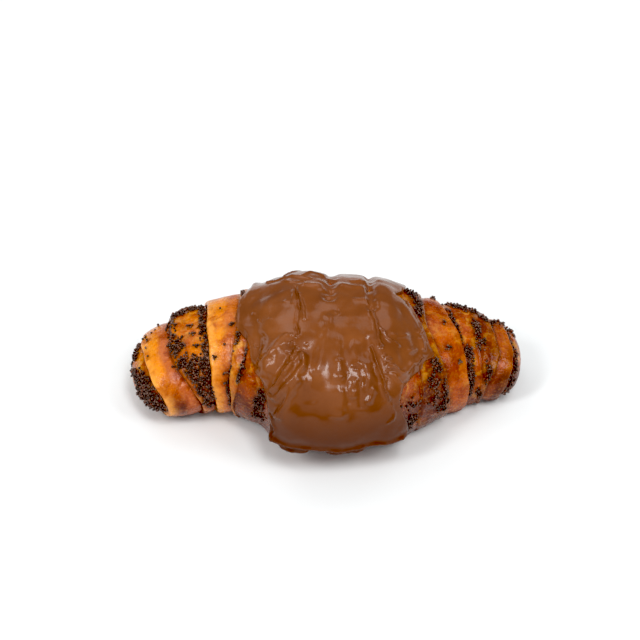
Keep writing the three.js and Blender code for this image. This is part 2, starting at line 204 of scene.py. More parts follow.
# %% Seams between the turns
# where it crosses the crest, lean, bow, twist, and the height of its lip
SEAMS = np.array([
    (-76.9, 6.6, 4.0, -2.2, 1.3),
    (-65.6, 8.9, 3.9, -4.0, 0.9),
    (-49.3, 3.4, -0.1, -0.9, 1.3),
    (-36.6, -1.6, -1.7, -0.2, 0.7),
    (-30.6, -3.6, -3.5, 1.5, 0.6),
    (-13.0, -2.5, -1.0, 0.0, 0.0),
    (22.0, 3.0, 1.0, 0.0, 0.0),
    (33.0, 4.5, 1.0, 0.0, 0.3),
    (41.9, 5.6, 3.9, 0.0, 0.9),
    (53.0, 7.3, -1.2, 0.4, 1.1),
    (61.4, 2.8, 0.2, 0.4, 0.6),
    (70.8, -1.7, -2.2, 3.1, 0.8),
    (77.0, -2.1, 0.2, 2.6, 1.2),
])
LIP_HEIGHT = 4
TURN_COUNT = len(SEAMS) + 1
MIDDLE_TURN = 6  # counted from 0 at the left tip
LIP_WIDTH = 1.2
LIP_OVERHANG = 0.55  # how far a lip leans over its neighbour, per mm of height
CREASE_DEPTH = 0.9
TURN_FULLNESS = 2.6  # the higher, the later a turn slopes down under the next one
# waves along a seam: how many go round the bun, how they shift from seam to seam, mm
SEAM_WAVES = ((5, 2.1, 0.27), (11, 1.3, 0.162))
# seams that are baked together: number (the first is 0), the degrees from which and
# to which they die out, and the share that is left
ALL_ROUND = (-180, -179)
HEALED_SEAMS = ((4, 38, 60, 0.0), (7, *ALL_ROUND, 0.1), (10, *ALL_ROUND, 0.12))


def seams_at(angle):
    """The x of every seam, the two tips included, at each angle."""
    rings = [np.full_like(angle, LEFT_TIP)]
    for number, (at, lean, bow, twist, _) in enumerate(SEAMS):
        ring = at + lean * np.sin(angle) + bow * np.sin(angle) ** 2 + twist * np.sin(2 * angle)
        for waves, shift, size in SEAM_WAVES:
            ring = ring + size * np.sin(waves * angle + shift * number)
        rings.append(ring)
    rings.append(np.full_like(angle, RIGHT_TIP))
    return np.array(rings)


def turn_edges(turn, angle):
    """The x of the left and of the right seam of a turn."""
    rings, pick = seams_at(angle), np.arange(len(turn))
    return rings[turn, pick], rings[turn + 1, pick]


def turn_and_across(x, angle):
    """Which turn a place lies on, how far across it, and the turn's width."""
    turn = np.clip((seams_at(angle) <= x).sum(axis=0) - 1, 0, TURN_COUNT - 1)
    left, right = turn_edges(turn, angle)
    return turn, np.clip((x - left) / (right - left), 0, 1), right - left


def share_from_lip(turn, across):
    """How far a place lies from its turn's lip, as a share of the width."""
    return np.where(turn < MIDDLE_TURN, across, 1 - across)


def smoothstep(value, low, high):
    """Rises softly from 0 at the low value to 1 at the high one."""
    t = np.clip((value - low) / (high - low), 0, 1)
    return t * t * (3 - 2 * t)


def seam_strength(angle):
    """For every seam, 1 where it is open and less where it is baked together."""
    strength = np.ones((len(SEAMS), len(angle)))
    for number, start, end, left_over in HEALED_SEAMS:
        healed = smoothstep(np.degrees(angle), start, end)
        strength[number] = 1 - (1 - left_over) * healed
    return strength


print(TURN_COUNT, "turns; seams on the crest at", np.round(seams_at(np.zeros(1))[:, 0], 1))

# %% [markdown]
# ## Where the chocolate lies
#
# The chocolate has a lobed outline, which follows from the way it ran: over the
# crest and down the front almost to the tray, and some way down the back.  It is
# drawn here as a closed curve in x and degrees round the bun.  Seen from its
# middle, every point of it lies in its own direction, so a direction and a
# distance say all about it, and the same two numbers later lay out the mesh.

# %% Outline of the chocolate
COATING_OUTLINE = np.array([
    (-34, -22), (-36.2, -9), (-37.3, 5), (-36.4, 17), (-33.6, 26), (-30.8, 34),
    (-30.2, 46), (-27.4, 56), (-24.8, 61), (-23.3, 70), (-22.8, 80), (-22.6, 92),
    (-21.5, 104), (-18, 111), (-12.7, 113), (-8, 110), (-4.6, 107), (-1, 111),
    (4, 115), (10.6, 114), (15.5, 110), (20.3, 109), (25, 111), (30, 109),
    (32.3, 97), (30.8, 81), (29.2, 70), (30.5, 57), (33.5, 52), (37.5, 47),
    (38.7, 41), (43, 36), (41.6, 28), (40.7, 21), (39.3, 12), (37, 2), (34.5, -9),
    (31.5, -17), (28.6, -20), (31.5, -29), (33, -48), (30, -66), (23, -84),
    (13, -93), (2, -88), (-9, -97), (-19, -90), (-27.5, -78), (-31.5, -58), (-32, -40),
], dtype=float)
COATING_MIDDLE = (3.0, math.radians(10))
ARC_RADIUS = 42.0  # mm of crust for each radian round the bun
OUTLINE_STEPS = 12


def smooth_loop(corners, steps):
    """A closed Catmull-Rom curve through the corners."""
    before, after = np.roll(corners, 1, axis=0), np.roll(corners, -1, axis=0)
    beyond = np.roll(corners, -2, axis=0)
    t = (np.arange(steps) / steps)[None, :, None]
    p0, p1, p2, p3 = (c[:, None, :] for c in (before, corners, after, beyond))
    curve = 0.5 * (2 * p1 + (p2 - p0) * t + (2 * p0 - 5 * p1 + 4 * p2 - p3) * t ** 2
                   + (3 * p1 - p0 - 3 * p2 + p3) * t ** 3)
    return curve.reshape(-1, 2)


def outline_in_polar():
    """The direction and the distance of every point of the outline, from its middle."""
    curve = smooth_loop(COATING_OUTLINE, OUTLINE_STEPS)
    across = curve[:, 0] - COATING_MIDDLE[0]
    down = (np.radians(curve[:, 1]) - COATING_MIDDLE[1]) * ARC_RADIUS
    direction, distance = np.arctan2(down, across), np.hypot(across, down)
    order = np.argsort(direction)
    return direction[order], distance[order]


outline_direction, outline_reach = outline_in_polar()


def reach_towards(direction):
    return np.interp(direction, outline_direction, outline_reach, period=2 * math.pi)


def beyond_coating(x, angle):
    """Millimetres from the outline, below zero under the chocolate."""
    across = x - COATING_MIDDLE[0]
    turned = angle - COATING_MIDDLE[1]
    down = (turned - 2 * math.pi * np.round(turned / (2 * math.pi))) * ARC_RADIUS
    return np.hypot(across, down) - reach_towards(np.arctan2(down, across))


print("the chocolate reaches", round(outline_reach.min(), 1), "to", round(outline_reach.max(), 1), "mm")

# %% [markdown]
# ## Relief of the crust
#
# On top of the turns lies what baking does: slow swells, puckers where a turn
# dives under the next one, and blisters on the seedy turns.  Slow shapes are
# real geometry, so they show in the outline; the finest grain is left to the
# material.  The soft random hills are gradient noise: every corner of a coarse
# grid is given a random slope, and the slopes are blended in between.

# %% Soft random hills
HASH_PRIMES = np.array((73856093, 19349663, 83492791))
HILL_SCALE = 1.7  # stretches the noise: nearly all of it then lies between -0.7 and 0.7
HILL_SHIFT = np.array((17.3, 7.1, 3.7))  # from one set of hills to the next
HILL_TABLE_SIZE = 4096
HILL_SEED = 5
HILL_SLOPES = np.random.default_rng(HILL_SEED).normal(size=(HILL_TABLE_SIZE, 3))
HILL_SLOPES /= np.linalg.norm(HILL_SLOPES, axis=1, keepdims=True)


def hills(points, height, size, which):
    """Soft noise around 0, scaled by the height, with hills of about the given size in mm."""
    place = points / size + HILL_SHIFT * which
    cell = np.floor(place).astype(int)
    within = place - cell
    ease = within ** 3 * (within * (within * 6 - 15) + 10)
    total = np.zeros(len(points))
    for corner in itertools.product((0, 1), repeat=3):
        pick = (cell + corner) @ HASH_PRIMES % len(HILL_SLOPES)
        weight = np.prod(np.where(corner, ease, 1 - ease), axis=1)
        total += weight * np.sum(HILL_SLOPES[pick] * (within - corner), axis=1)
    return height * (total * HILL_SCALE)


print("hills of 10 mm at the crest and the front:", hills(middle, 1.0, 10.0, 0).round(2))

# %% Relief of the crust
# how blistered each turn is, counted from the left tip
TURN_BLISTERS = np.array([0.7, 0.25, 0.5, 0.35, 0.7, 0.5, 0.3, 0.4, 0.7, 0.3, 0.6, 0.6, 0.3, 0.7])
# random unevenness: its height and the size of its hills in mm, and which hills it takes
SWELL = (0.55, 17.0, 1)
PUCKER = (0.32, 3.2, 2)
BLISTER = (0.24, 1.5, 3)
PUCKER_STRETCH = (1, 0.35, 0.35)  # puckers run round the bun
PUCKER_LEAST = 0.25  # the share of the puckers that is left near a lip
PUCKERS_GROW = (0.45, 0.9)  # between these shares of a turn's width
RELIEF_UNDER_COATING = 0.25
RELIEF_FADES = (-5, 1)  # between these distances from the chocolate's outline, in mm
END_RADIUS = 27.0  # mm, how the skin curves outside the chocolate
# wrinkles and bumps: a path in x and degrees, its height and its width in mm
CRUST_FOLDS = [
    ([(-58.9, 59), (-59.7, 65), (-61.1, 70), (-61.6, 77)], -0.6, 0.7),  # left: three wrinkles fan out
    ([(-58.5, 61), (-57.3, 68), (-56.1, 76)], -0.6, 0.7),
    ([(-55.9, 60), (-54.7, 68), (-53.7, 77)], -0.5, 0.7),
    ([(-39.7, 24), (-39.7, 38), (-40, 52), (-40.9, 68)], -0.35, 0.8),
    ([(-30.7, 58), (-27.9, 66), (-26.4, 73)], -0.5, 1.0),
    ([(35.5, 70), (36.5, 74)], 0.9, 2.2),  # right: bumps under the chocolate's edge
    ([(40, 80), (41, 84)], 0.9, 2.2),
    ([(43.3, 79), (44, 86)], 0.7, 1.6),
    ([(39.3, 93), (44.7, 97)], 0.6, 1.8),
    ([(70.1, -14), (71.8, 4), (72.5, 24), (72, 44), (69.6, 64)], 0.6, 1.2),  # fold near the tip
]
SMALLEST_STRETCH = 1e-9  # keeps a path of one point from dividing by zero
SAMPLES = 400


def lip_and_dive(turn, angle):
    """The height of a turn's lip, how open its seam is, and how open the one is that it dives under."""
    left_side = turn < MIDDLE_TURN
    last = len(SEAMS) - 1
    lip_seam = np.clip(np.where(left_side, turn - 1, turn), 0, last)
    dive_seam = np.clip(np.where(left_side, turn, turn - 1), 0, last)
    strength, pick = seam_strength(angle), np.arange(len(turn))
    return SEAMS[lip_seam, LIP_HEIGHT], strength[lip_seam, pick], strength[dive_seam, pick]


def turn_height(turn, across, width, angle):
    """How far a turn stands above the risen shape."""
    is_middle = turn == MIDDLE_TURN
    is_end = (turn == 0) | (turn == TURN_COUNT - 1)
    from_lip = share_from_lip(turn, across)
    lip, open_lip, open_dive = lip_and_dive(turn, angle)
    lip = np.where(is_end, 0, lip)
    edge = np.where(is_middle, np.minimum(across, 1 - across), from_lip) * width
    rise = np.where(is_end, 1, smoothstep(edge, 0, LIP_WIDTH))
    rise = 1 - (1 - rise) * np.where(is_middle, 1, open_lip)
    fall = np.where(is_middle, 1, 1 - from_lip ** TURN_FULLNESS * open_dive)
    return (CREASE_DEPTH + lip * open_lip) * rise * fall - CREASE_DEPTH


def distance_to_path(x, angle, path, radius=ARC_RADIUS):
    """Millimetres from a path of x and degrees, on skin that curves with the given radius."""
    place = np.stack([x, angle * radius], axis=-1)
    nearest = np.full(len(x), np.inf)
    corners = [np.array((px, math.radians(degrees) * radius)) for px, degrees in path]
    for start, end in zip(corners, corners[1:] or corners):
        stretch = end - start
        t = np.clip(((place - start) @ stretch) / max(stretch @ stretch, SMALLEST_STRETCH), 0, 1)
        nearest = np.minimum(nearest, np.linalg.norm(place - start - t[:, None] * stretch, axis=-1))
    return nearest


def falling_off(away, steepness=1.0, power=2.0):
    """1 on the path of a fold, going down to 0 beside it."""
    return np.exp(-steepness * away ** power)


def part_and_rest(least, share):
    """A share that runs from the least to 1 rather than from 0 to 1."""
    return least + (1 - least) * share


def crust_height(x, angle):
    """The whole relief at a place, in mm above the risen shape."""
    turn, across, width = turn_and_across(x, angle)
    skin = rounded_skin(x, angle)
    shown = part_and_rest(RELIEF_UNDER_COATING, smoothstep(beyond_coating(x, angle), *RELIEF_FADES))
    puckered = part_and_rest(PUCKER_LEAST, smoothstep(share_from_lip(turn, across), *PUCKERS_GROW))
    height = turn_height(turn, across, width, angle) * shown
    height += hills(skin, *SWELL) * shown
    height += hills(skin * PUCKER_STRETCH, *PUCKER) * puckered * shown
    height += hills(skin, *BLISTER) * TURN_BLISTERS[turn]
    for path, fold, fold_width in CRUST_FOLDS:
        height += fold * falling_off(distance_to_path(x, angle, path, END_RADIUS) / fold_width)
    return height


along_crest = crust_height(np.linspace(LEFT_TIP, RIGHT_TIP, SAMPLES), np.zeros(SAMPLES))
print("relief on the crest from", round(along_crest.min(), 2), "to", round(along_crest.max(), 2), "mm")

# %% [markdown]
# ## The dough
#
# The bun is one closed skin.  It starts as a flat grid, as dough is rolled flat;
# the grid is rolled into a tube, its long edges are welded and each end is drawn
# together into a tip.  Every ring of the tube is sent to one place along the
# strip, a turn and how far across it, so that the rings follow the seams and a
# steep lip stays crisp.  Rings lie close at a lip and wide under the chocolate.

# %% Rings along the strip
CRUST_AROUND = 280  # quads round the bun
RING_SPACING = 0.52  # mm, about
HIDDEN_SPACING = 1.3
LIP_RINGS = 7
FEWEST_RINGS = 3
TIP_RINGS = 24
TIP_CROWDING = 2  # the higher, the closer the rings lie at the very tip
HIDDEN_TURNS = (5, 6, 7)  # these lie mostly under the chocolate
SPACING_ANGLE = 0.8  # radians round the bun, where the widths of the turns are measured


def ring_places():
    """Turn and share of its width for every ring, from the left tip to the right."""
    widths = np.diff(seams_at(np.full(1, SPACING_ANGLE))[:, 0])
    places = []
    for turn, width in enumerate(widths):
        if turn in (0, TURN_COUNT - 1):
            shares = np.linspace(0, 1, TIP_RINGS, endpoint=False) ** TIP_CROWDING
        else:
            spacing = HIDDEN_SPACING if turn in HIDDEN_TURNS else RING_SPACING
            lip = np.linspace(0, LIP_WIDTH / width, LIP_RINGS, endpoint=False)
            ring_count = max(int(width / spacing), FEWEST_RINGS)
            rest = np.linspace(LIP_WIDTH / width, 1, ring_count, endpoint=False)
            shares = np.concatenate([lip, rest])
        if turn > MIDDLE_TURN:
            shares = 1 - shares[::-1]
            shares = np.concatenate([[0], shares[:-1]])
        places += [(turn, share) for share in shares]
    places.append((TURN_COUNT - 1, 1.0))
    return np.array(places)


crust_rings = ring_places()
print(len(crust_rings), "rings,", 2 * CRUST_AROUND * (len(crust_rings) - 2), "triangles")

# %% A sheet made into a closed skin
LEVEL_DIGITS = 5  # vertices whose levels agree to so many decimals lie in one row


def store_mask(mesh, name, values):
    """Keeps one number for each vertex, under a name that a material can read."""
    mesh.attributes.new(name, "FLOAT", "POINT").data.foreach_set("value", values.astype(np.float32))


def triangle_count(mesh):
    return sum(len(face.vertices) - 2 for face in mesh.polygons)


def closed_skin(name, columns, rows, pair_up, place):
    """A grid with its border welded as pair_up() says, sent where place() says, in mm."""
    bm = bmesh.new()
    bmesh.ops.create_grid(bm, x_segments=columns, y_segments=rows, size=1)
    bmesh.ops.weld_verts(bm, targetmap=pair_up(bm))
    placed, masks = place(np.array([vert.co[:2] for vert in bm.verts]))
    for vert, point in zip(bm.verts, placed * MM):
        vert.co = point
    bmesh.ops.recalc_face_normals(bm, faces=bm.faces)
    mesh = bpy.data.meshes.new(name)
    bm.to_mesh(mesh)
    bm.free()
    for mask, values in masks.items():
        store_mask(mesh, mask, values)
    mesh.shade_smooth()
    print(name, "has", triangle_count(mesh), "triangles")
    return new_object(name, mesh)


def roll_into_tube(bm):
    """Pairs the long edges of a sheet, and gathers each end to a point."""
    rows = {}
    for vert in bm.verts:
        rows.setdefault(round(vert.co.y, LEVEL_DIGITS), []).append(vert)
    pairs = {}
    for level, row in rows.items():
        row.sort(key=lambda vert: vert.co.x)
        closing = row[1:] if abs(level) == 1 else row[-1:]
        pairs.update({vert: row[0] for vert in closing})
    return pairs


# %% [markdown]
# The colours of a baked turn follow its shape: the thin lip stays pale, the
# crest is golden, the slope that dives under the next turn is a pinkish tan
# where the egg wash missed it, and the turns on the right are baked to red-brown.
# The turns on the right, the lower sides and the seams are also painted darker,
# as painted shade.  These are stored on the mesh as masks, so that the material
# can follow them.

# %% Masks that the crust's colours follow
# one number for each turn, counted from the left tip: how pale its lip is, how tan
# its slope, how much it darkens towards the tray, and how brown it is on top; both
# darkenings are partly baked colour and partly painted shade
TURN_PALE = np.array([0.0, 1.0, 0.15, 0.9, 0.4, 0.2, 0.0, 0.1, 0.1, 0.15, 0.3, 0.15, 0.1, 0.0])
TURN_TAN = np.array([0.0, 1.0, 0.1, 0.65, 0.2, 0.2, 0.0, 0.2, 0.3, 0.25, 0.1, 0.3, 0.35, 0.0])
TURN_LOW_BROWN_AND_SHADE = np.array([0.5, 0.8, 0.5, 0.1, 0.3, 0.5, 0.5, 0.5, 0.5, 0.05, 0.3, 0.4, 0.4, 0.5])
TURN_BROWN_AND_SHADE = np.array([0.3, 0.1, 0.3, 0.2, 0.55, 0.65, 0.6, 0.7, 0.9, 0.6, 0.7, 1.0, 0.85, 0.7])
PALE_FLAT, PALE_WIDTH = 0.6, 2.6  # mm from the lip: pale all over, and fading out
TAN_BETWEEN = (0.5, 0.72)  # shares of a turn's width
LOW_BETWEEN = (42, 95)  # degrees round the bun, between which it browns towards the tray and takes painted shade
# the seams are painted darker: painted shade under a lip, and shade with some browning where a turn dives
DIVE_CREASE_SHADE_WIDTH, LIP_CREASE_SHADE_WIDTH = 0.9, 0.45  # mm, on either side of a seam
MOST_BROWNING_AND_SHADE = 1.2


def crust_masks(x, angle):
    """What the crust's colours follow, for every vertex."""
    turn, across, width = turn_and_across(x, angle)
    from_lip = share_from_lip(turn, across)
    lip_distance = from_lip * width
    _, open_lip, open_dive = lip_and_dive(turn, angle)
    pale = TURN_PALE[turn] * falling_off(np.maximum(lip_distance - PALE_FLAT, 0) / PALE_WIDTH)
    tan = TURN_TAN[turn] * smoothstep(from_lip, *TAN_BETWEEN)
    low = smoothstep(np.degrees(np.abs(angle)), *LOW_BETWEEN)
    crease = (falling_off((1 - from_lip) * width / DIVE_CREASE_SHADE_WIDTH) * open_dive
              + falling_off(lip_distance / LIP_CREASE_SHADE_WIDTH) * open_lip)
    crease[turn == MIDDLE_TURN] = 0
    return {
        "pale_lip": pale * open_lip,
        "tan_slope": tan * open_dive,
        # browning and painted shade: the right-hand turns and the lower sides are painted darker
        "browning_and_shade": np.clip(TURN_BROWN_AND_SHADE[turn] + TURN_LOW_BROWN_AND_SHADE[turn] * low, 0, MOST_BROWNING_AND_SHADE),
        "blistered": TURN_BLISTERS[turn],
        "crease": np.clip(crease, 0, 1),
    }


def place_crust(sheet):
    """Rolls the flat sheet into the dough; its lips lean over their neighbours."""
    ring = np.rint((sheet[:, 1] + 1) / 2 * (len(crust_rings) - 1)).astype(int)
    direction = sheet[:, 0] * math.pi
    turn, across = crust_rings[ring, 0].astype(int), crust_rings[ring, 1]
    left, right = turn_edges(turn, direction)
    x = left + (right - left) * across
    lip_distance = share_from_lip(turn, across) * (right - left)
    points = on_skin(x, direction, crust_height(x, direction))
    lip, open_lip, _ = lip_and_dive(turn, direction)
    is_inner = (turn > 0) & (turn < TURN_COUNT - 1) & (turn != MIDDLE_TURN)
    leaning = np.sin(math.pi * np.clip(lip_distance / LIP_WIDTH, 0, 1)) * is_inner
    over = lip * open_lip * LIP_OVERHANG * leaning
    points[:, 0] += np.where(turn < MIDDLE_TURN, -over, over)
    return points, crust_masks(x, direction)


dough = closed_skin("baked_dough", CRUST_AROUND, len(crust_rings) - 1, roll_into_tube, place_crust)

# %% [markdown]
# ## The chocolate
#
# The chocolate hides the turns, but it keeps the marks of how it ran and set:
# lobes on top, strands drawn out on the left, ripples down the front, a lip with
# two feet above the tray, and crumbs and seeds that lie under it.  Sculpting
# could make them; here each mark is a short path with a height and a width, so
# that it can be moved or made flatter by one number.  Soft noise lets the paths
# stray a little, as nothing runs in straight lines.

# %% Folds that show through the chocolate
# each fold is a path in x and degrees, its height (a valley is below zero) and its width
BROAD_FOLDS = [
    ([(2, -80), (2, -30), (1, -8)], -2.0, 3.6),  # the two dips between the three lobes
    ([(17, -80), (18, -30), (18, 0)], -1.7, 2.6),
    ([(-16, 25), (-18, 29), (-20.8, 36), (-23, 44), (-24, 51)], 2.0, 3.1),  # finger-like hump on the left
    ([(-13.5, 31), (-16, 38), (-18.2, 44), (-21, 52), (-22.2, 59)], -1.2, 1.8),
    ([(-24, 24), (-26.4, 36), (-26.2, 47)], -0.8, 2.2),
    ([(-13.4, 41), (-15.8, 48), (-17.9, 54), (-20.5, 59)], 1.7, 1.4),  # strands drawn out on the left
    ([(-9, 35), (-8.5, 40), (-10.6, 46), (-13.2, 51), (-15.6, 57), (-18.6, 63)], 2.4, 1.7),
    ([(-10.4, 50), (-12.2, 55), (-14.4, 62), (-16.9, 71), (-17.6, 76)], 1.7, 1.6),
    ([(1, 9), (-0.5, 17), (-2, 26), (-3, 34), (-4.2, 42)], 0.75, 2.6),  # left side of the front hollow
    ([(-5.8, 30), (-6.8, 44), (-6.5, 60)], -0.7, 5.0),
    ([(-7.3, 49), (-7.3, 54)], 0.3, 1.5),
    ([(4.6, 24), (4.5, 32)], 0.5, 1.5),  # ripples that run down the front
    ([(4.3, 38), (4.8, 46)], 1.0, 3.0),
    ([(5.4, 56), (5.4, 63), (4.6, 71)], 0.9, 2.6),
    ([(3.2, 71.5), (6, 71.5)], 0.5, 2.2),
    ([(11.2, 28), (11.6, 38)], 0.8, 2.8),
    ([(10.4, 50), (10, 58)], 0.9, 2.4),
    ([(15.2, 40), (16, 48), (15.3, 54)], 1.1, 2.7),
    ([(18.2, 56), (16.4, 63)], 1.0, 1.7),
    ([(8.2, 46), (7.6, 55), (8, 62)], -0.4, 2.2),
    ([(13.4, 50), (13.2, 66)], -0.5, 1.5),
    ([(16.2, 24), (17.7, 35), (19, 44), (20.3, 52), (22, 62)], -0.6, 1.9),  # crease on the right
    ([(29.5, 46), (33, 41), (36, 38)], 1.2, 2.4),
    ([(26.7, 21), (29.8, 20)], 0.7, 1.8),
    ([(31.9, 31), (33.6, 31)], 0.6, 1.5),
    ([(36, 18), (38.4, 14)], 0.7, 1.6),
    ([(37.1, 23), (37.8, 31)], 0.6, 1.3),
    ([(39.5, 26), (41.2, 32)], 0.5, 1.2),
    ([(28.6, 90), (30, 97)], 0.5, 1.6),
    ([(7, -21), (14, -20)], 0.7, 2.2),
    ([(-9, -18), (-3, -18)], 0.6, 1.8),
    ([(-4, -15), (0, -15)], 0.5, 1.4),
    # the lip above the tray, and two feet of chocolate below it
    ([(-22, 97), (-18, 101), (-12, 102), (-6, 101), (-1, 103),
      (6, 105), (12, 103), (18, 101), (25, 103), (30, 99)], 1.3, 1.7),
    ([(-17, 108), (-12, 110), (-8, 107)], 1.5, 1.8),
    ([(0, 110), (5, 112), (10, 111), (14, 107)], 1.5, 1.8),
]
SHARP_FOLDS = [
    ([(-12, -17), (-11.5, -8), (-10.9, 1), (-11.2, 8), (-11.7, 14), (-11, 21)], -1.0, 0.9),  # long crease
    ([(-12.9, -12), (-12.8, -1)], 0.55, 0.9),
    ([(-10.4, -8), (-9.5, 1), (-9.2, 5), (-8.8, 11)], 0.75, 1.0),
    ([(-9.8, 34), (-11.7, 38.5), (-13.2, 41)], 0.9, 1.0),
    ([(-22.7, 61), (-21, 63), (-18.6, 65)], 0.8, 0.7),
    ([(-18.4, 74), (-20.3, 82), (-19.3, 90), (-20.3, 102)], 0.8, 1.0),
    ([(-21.3, 76), (-19.7, 80)], -1.0, 0.8),
    ([(-20.5, 88), (-20.3, 94)], -1.0, 0.8),
    ([(17.4, 29), (18.9, 36), (20, 43), (21.5, 50), (22.6, 57), (23.8, 64)], 1.3, 1.1),  # on the right
    ([(17.9, 5), (19.3, 12), (20, 18), (20.4, 24), (21.2, 28)], 1.3, 1.2),
    ([(20.8, 16), (22.9, 21), (25, 25), (27.6, 28)], 0.8, 0.8),
    ([(24.8, 41), (26.4, 44), (28.3, 46)], 1.5, 1.2),
    ([(25.7, 48), (27.9, 54)], 0.9, 1.2),
    ([(25, 68), (26.2, 75), (25.5, 80), (23.6, 83)], 0.55, 0.8),
    ([(-23.5, -33), (-18.5, -36), (-13.5, -33), (-7, -27)], 0.9, 1.0),  # wrinkles across the left lobe
    ([(-17.5, -29), (-14.5, -24), (-9.5, -22)], 0.7, 0.9),
    ([(-17, -44), (-11, -50)], 0.8, 1.1),
    ([(-10, -32), (-6, -38), (-1, -33)], 0.8, 1.0),
    ([(10.5, -28), (16.3, -29)], 0.6, 0.9),
    ([(11, -6), (16, -7), (17, -3)], 0.5, 0.7),
]
# lumps of seed and crumb under the chocolate: x, degrees, radius and height in mm
LUMPS = [
    (-15.1, 22, 0.7, 0.6), (-13.2, 22, 0.65, 0.6), (-11.4, 23, 0.6, 0.6), (-12.7, 27, 0.75, 0.8),
    (-14.3, 28, 0.7, 0.5), (-11.3, 30, 0.75, 0.8), (-12.6, 32, 0.6, 0.6), (-13.3, 35.5, 0.8, 0.8),
    (-11.6, 36, 0.65, 0.7), (-12.9, 39, 0.6, 0.6), (-10.4, 33, 0.5, 0.5), (-14.9, 33, 0.5, 0.5),
    (22.7, 35, 0.75, 0.7), (24, 37, 0.7, 0.7), (22.7, 40, 0.6, 0.6), (24.5, 43, 0.9, 0.8),
    (23.2, 46, 0.7, 0.6), (22.9, 50, 0.6, 0.5), (21.3, 28.5, 0.9, 0.7), (10.3, 40, 0.5, 0.35),
    (12.2, 38, 0.5, 0.4), (13.4, 41, 0.45, 0.35), (-28.5, 8, 0.9, 0.5), (-25.8, 13, 0.8, 0.5),
    (-27.6, 34, 0.9, 0.6), (-21.6, 10, 0.8, 0.3), (-15.6, -3, 1.1, 0.35), (3, 5, 0.7, 0.35),
    (4.6, 6, 0.6, 0.35), (29, 100, 0.8, 0.5), (30.4, 104, 0.7, 0.5), (31, 96, 0.7, 0.4),
]
DIPS = [(11.3, 42), (10.6, 54), (-8, 28), (4, 3), (-14.4, 37)]
DIP_WIDTH, DIP_DEPTH = 0.7, 0.45
fold_count = len(BROAD_FOLDS) + len(SHARP_FOLDS)
print(fold_count, "folds,", len(LUMPS), "lumps and", len(DIPS), "dips in the chocolate")

# %% Height of the chocolate
COATING_THICKNESS = 2.3
RIM_THICKNESS = 1.2
RIM_BEAD = 0.15  # surface tension leaves a slight swelling along the border
BEAD_INSET, BEAD_WIDTH = 1.3, 0.8
RIM_RELIEF_WIDTH = 3.4  # from here inwards the chocolate stops following the turns
# random unevenness, as on the crust: how far a fold strays from its path along the
# bun and round it, how much its height varies, and the three sizes of hills
STRAY_ALONG = (0.35, 3.0, 7)
STRAY_ROUND = (0.4, 3.5, 8)
UNEVEN_FOLDS = (0.45, 4.0, 9)
COATING_HILLS = ((0.5, 8.0, 10), (0.12, 4.0, 11), (0.015, 1.1, 12))
# how steeply each kind goes down beside its path: steepness and power
BROAD_SIDES, SHARP_SIDES, LUMP_SIDES = (1.6, 2.0), (1.9, 1.4), (1.0, 2.4)


def coating_height(x, angle, inset):
    """The outside of the chocolate, in mm above the risen shape."""
    skin = rounded_skin(x, angle)
    stray_x = x + hills(skin, *STRAY_ALONG)
    stray_angle = angle + hills(skin, *STRAY_ROUND) / ARC_RADIUS
    varied = 1 + hills(skin, *UNEVEN_FOLDS)
    height = np.full_like(x, COATING_THICKNESS)
    for folds, sides in ((BROAD_FOLDS, BROAD_SIDES), (SHARP_FOLDS, SHARP_SIDES)):
        for path, fold, width in folds:
            away = distance_to_path(stray_x, stray_angle, path) / width
            height += fold * varied * falling_off(away, *sides)
    for lump_x, degrees, radius, lump in LUMPS:
        away = distance_to_path(stray_x, angle, [(lump_x, degrees)]) / radius
        height += lump * falling_off(away, *LUMP_SIDES)
    for place in DIPS:
        height -= DIP_DEPTH * falling_off(distance_to_path(x, angle, [place]) / DIP_WIDTH)
    for kind in COATING_HILLS:
        height += hills(skin, *kind)
    at_rim = crust_height(x, angle) + RIM_THICKNESS
    blend = smoothstep(inset, 0, RIM_RELIEF_WIDTH)
    bead = RIM_BEAD * falling_off((inset - BEAD_INSET) / BEAD_WIDTH)
    return at_rim * (1 - blend) + height * blend + bead


at_crest = coating_height(np.zeros(1), np.zeros(1), np.full(1, RIM_RELIEF_WIDTH))
print("the chocolate stands", round(at_crest[0], 1), "mm above the risen shape at the crest")

# %% [markdown]
# Set chocolate is a shell about 2 mm thick with a rounded border.  It could be a
# patch of the dough's skin with a Solidify modifier, but then its rim would be a
# flat strip.  Here a second closed skin is used: the rings of its first part
# become the outside of the shell, the next few bend round the rim, and the rest
# are the inside, which sinks a little into the dough so that no gap shows.

# %% The chocolate's shell
COATING_SINK = 0.5  # how deep its inside lies in the dough
COATING_GRID = 304  # quads along each side of the sheet
OUTER_RINGS = 134
OUTER_CROWDING = 0.94  # below 1, so that the rings lie closer towards the border
RIM_RINGS = 9


def coating_ring_table():
    """Share of the way out and how far round the rim, 0 above and 1 below, for every ring."""
    shares = np.linspace(0, 1, OUTER_RINGS, endpoint=False) ** OUTER_CROWDING
    outside = [(share, 0.0) for share in shares]
    rim = [(1.0, step) for step in np.linspace(0, 1, RIM_RINGS)]
    inner_rings = COATING_GRID // 2 + 1 - OUTER_RINGS - RIM_RINGS
    inside = [(share, 1.0) for share in np.linspace(1, 0, inner_rings + 1)[1:]]
    return np.array(outside + rim + inside)


coating_rings = coating_ring_table()


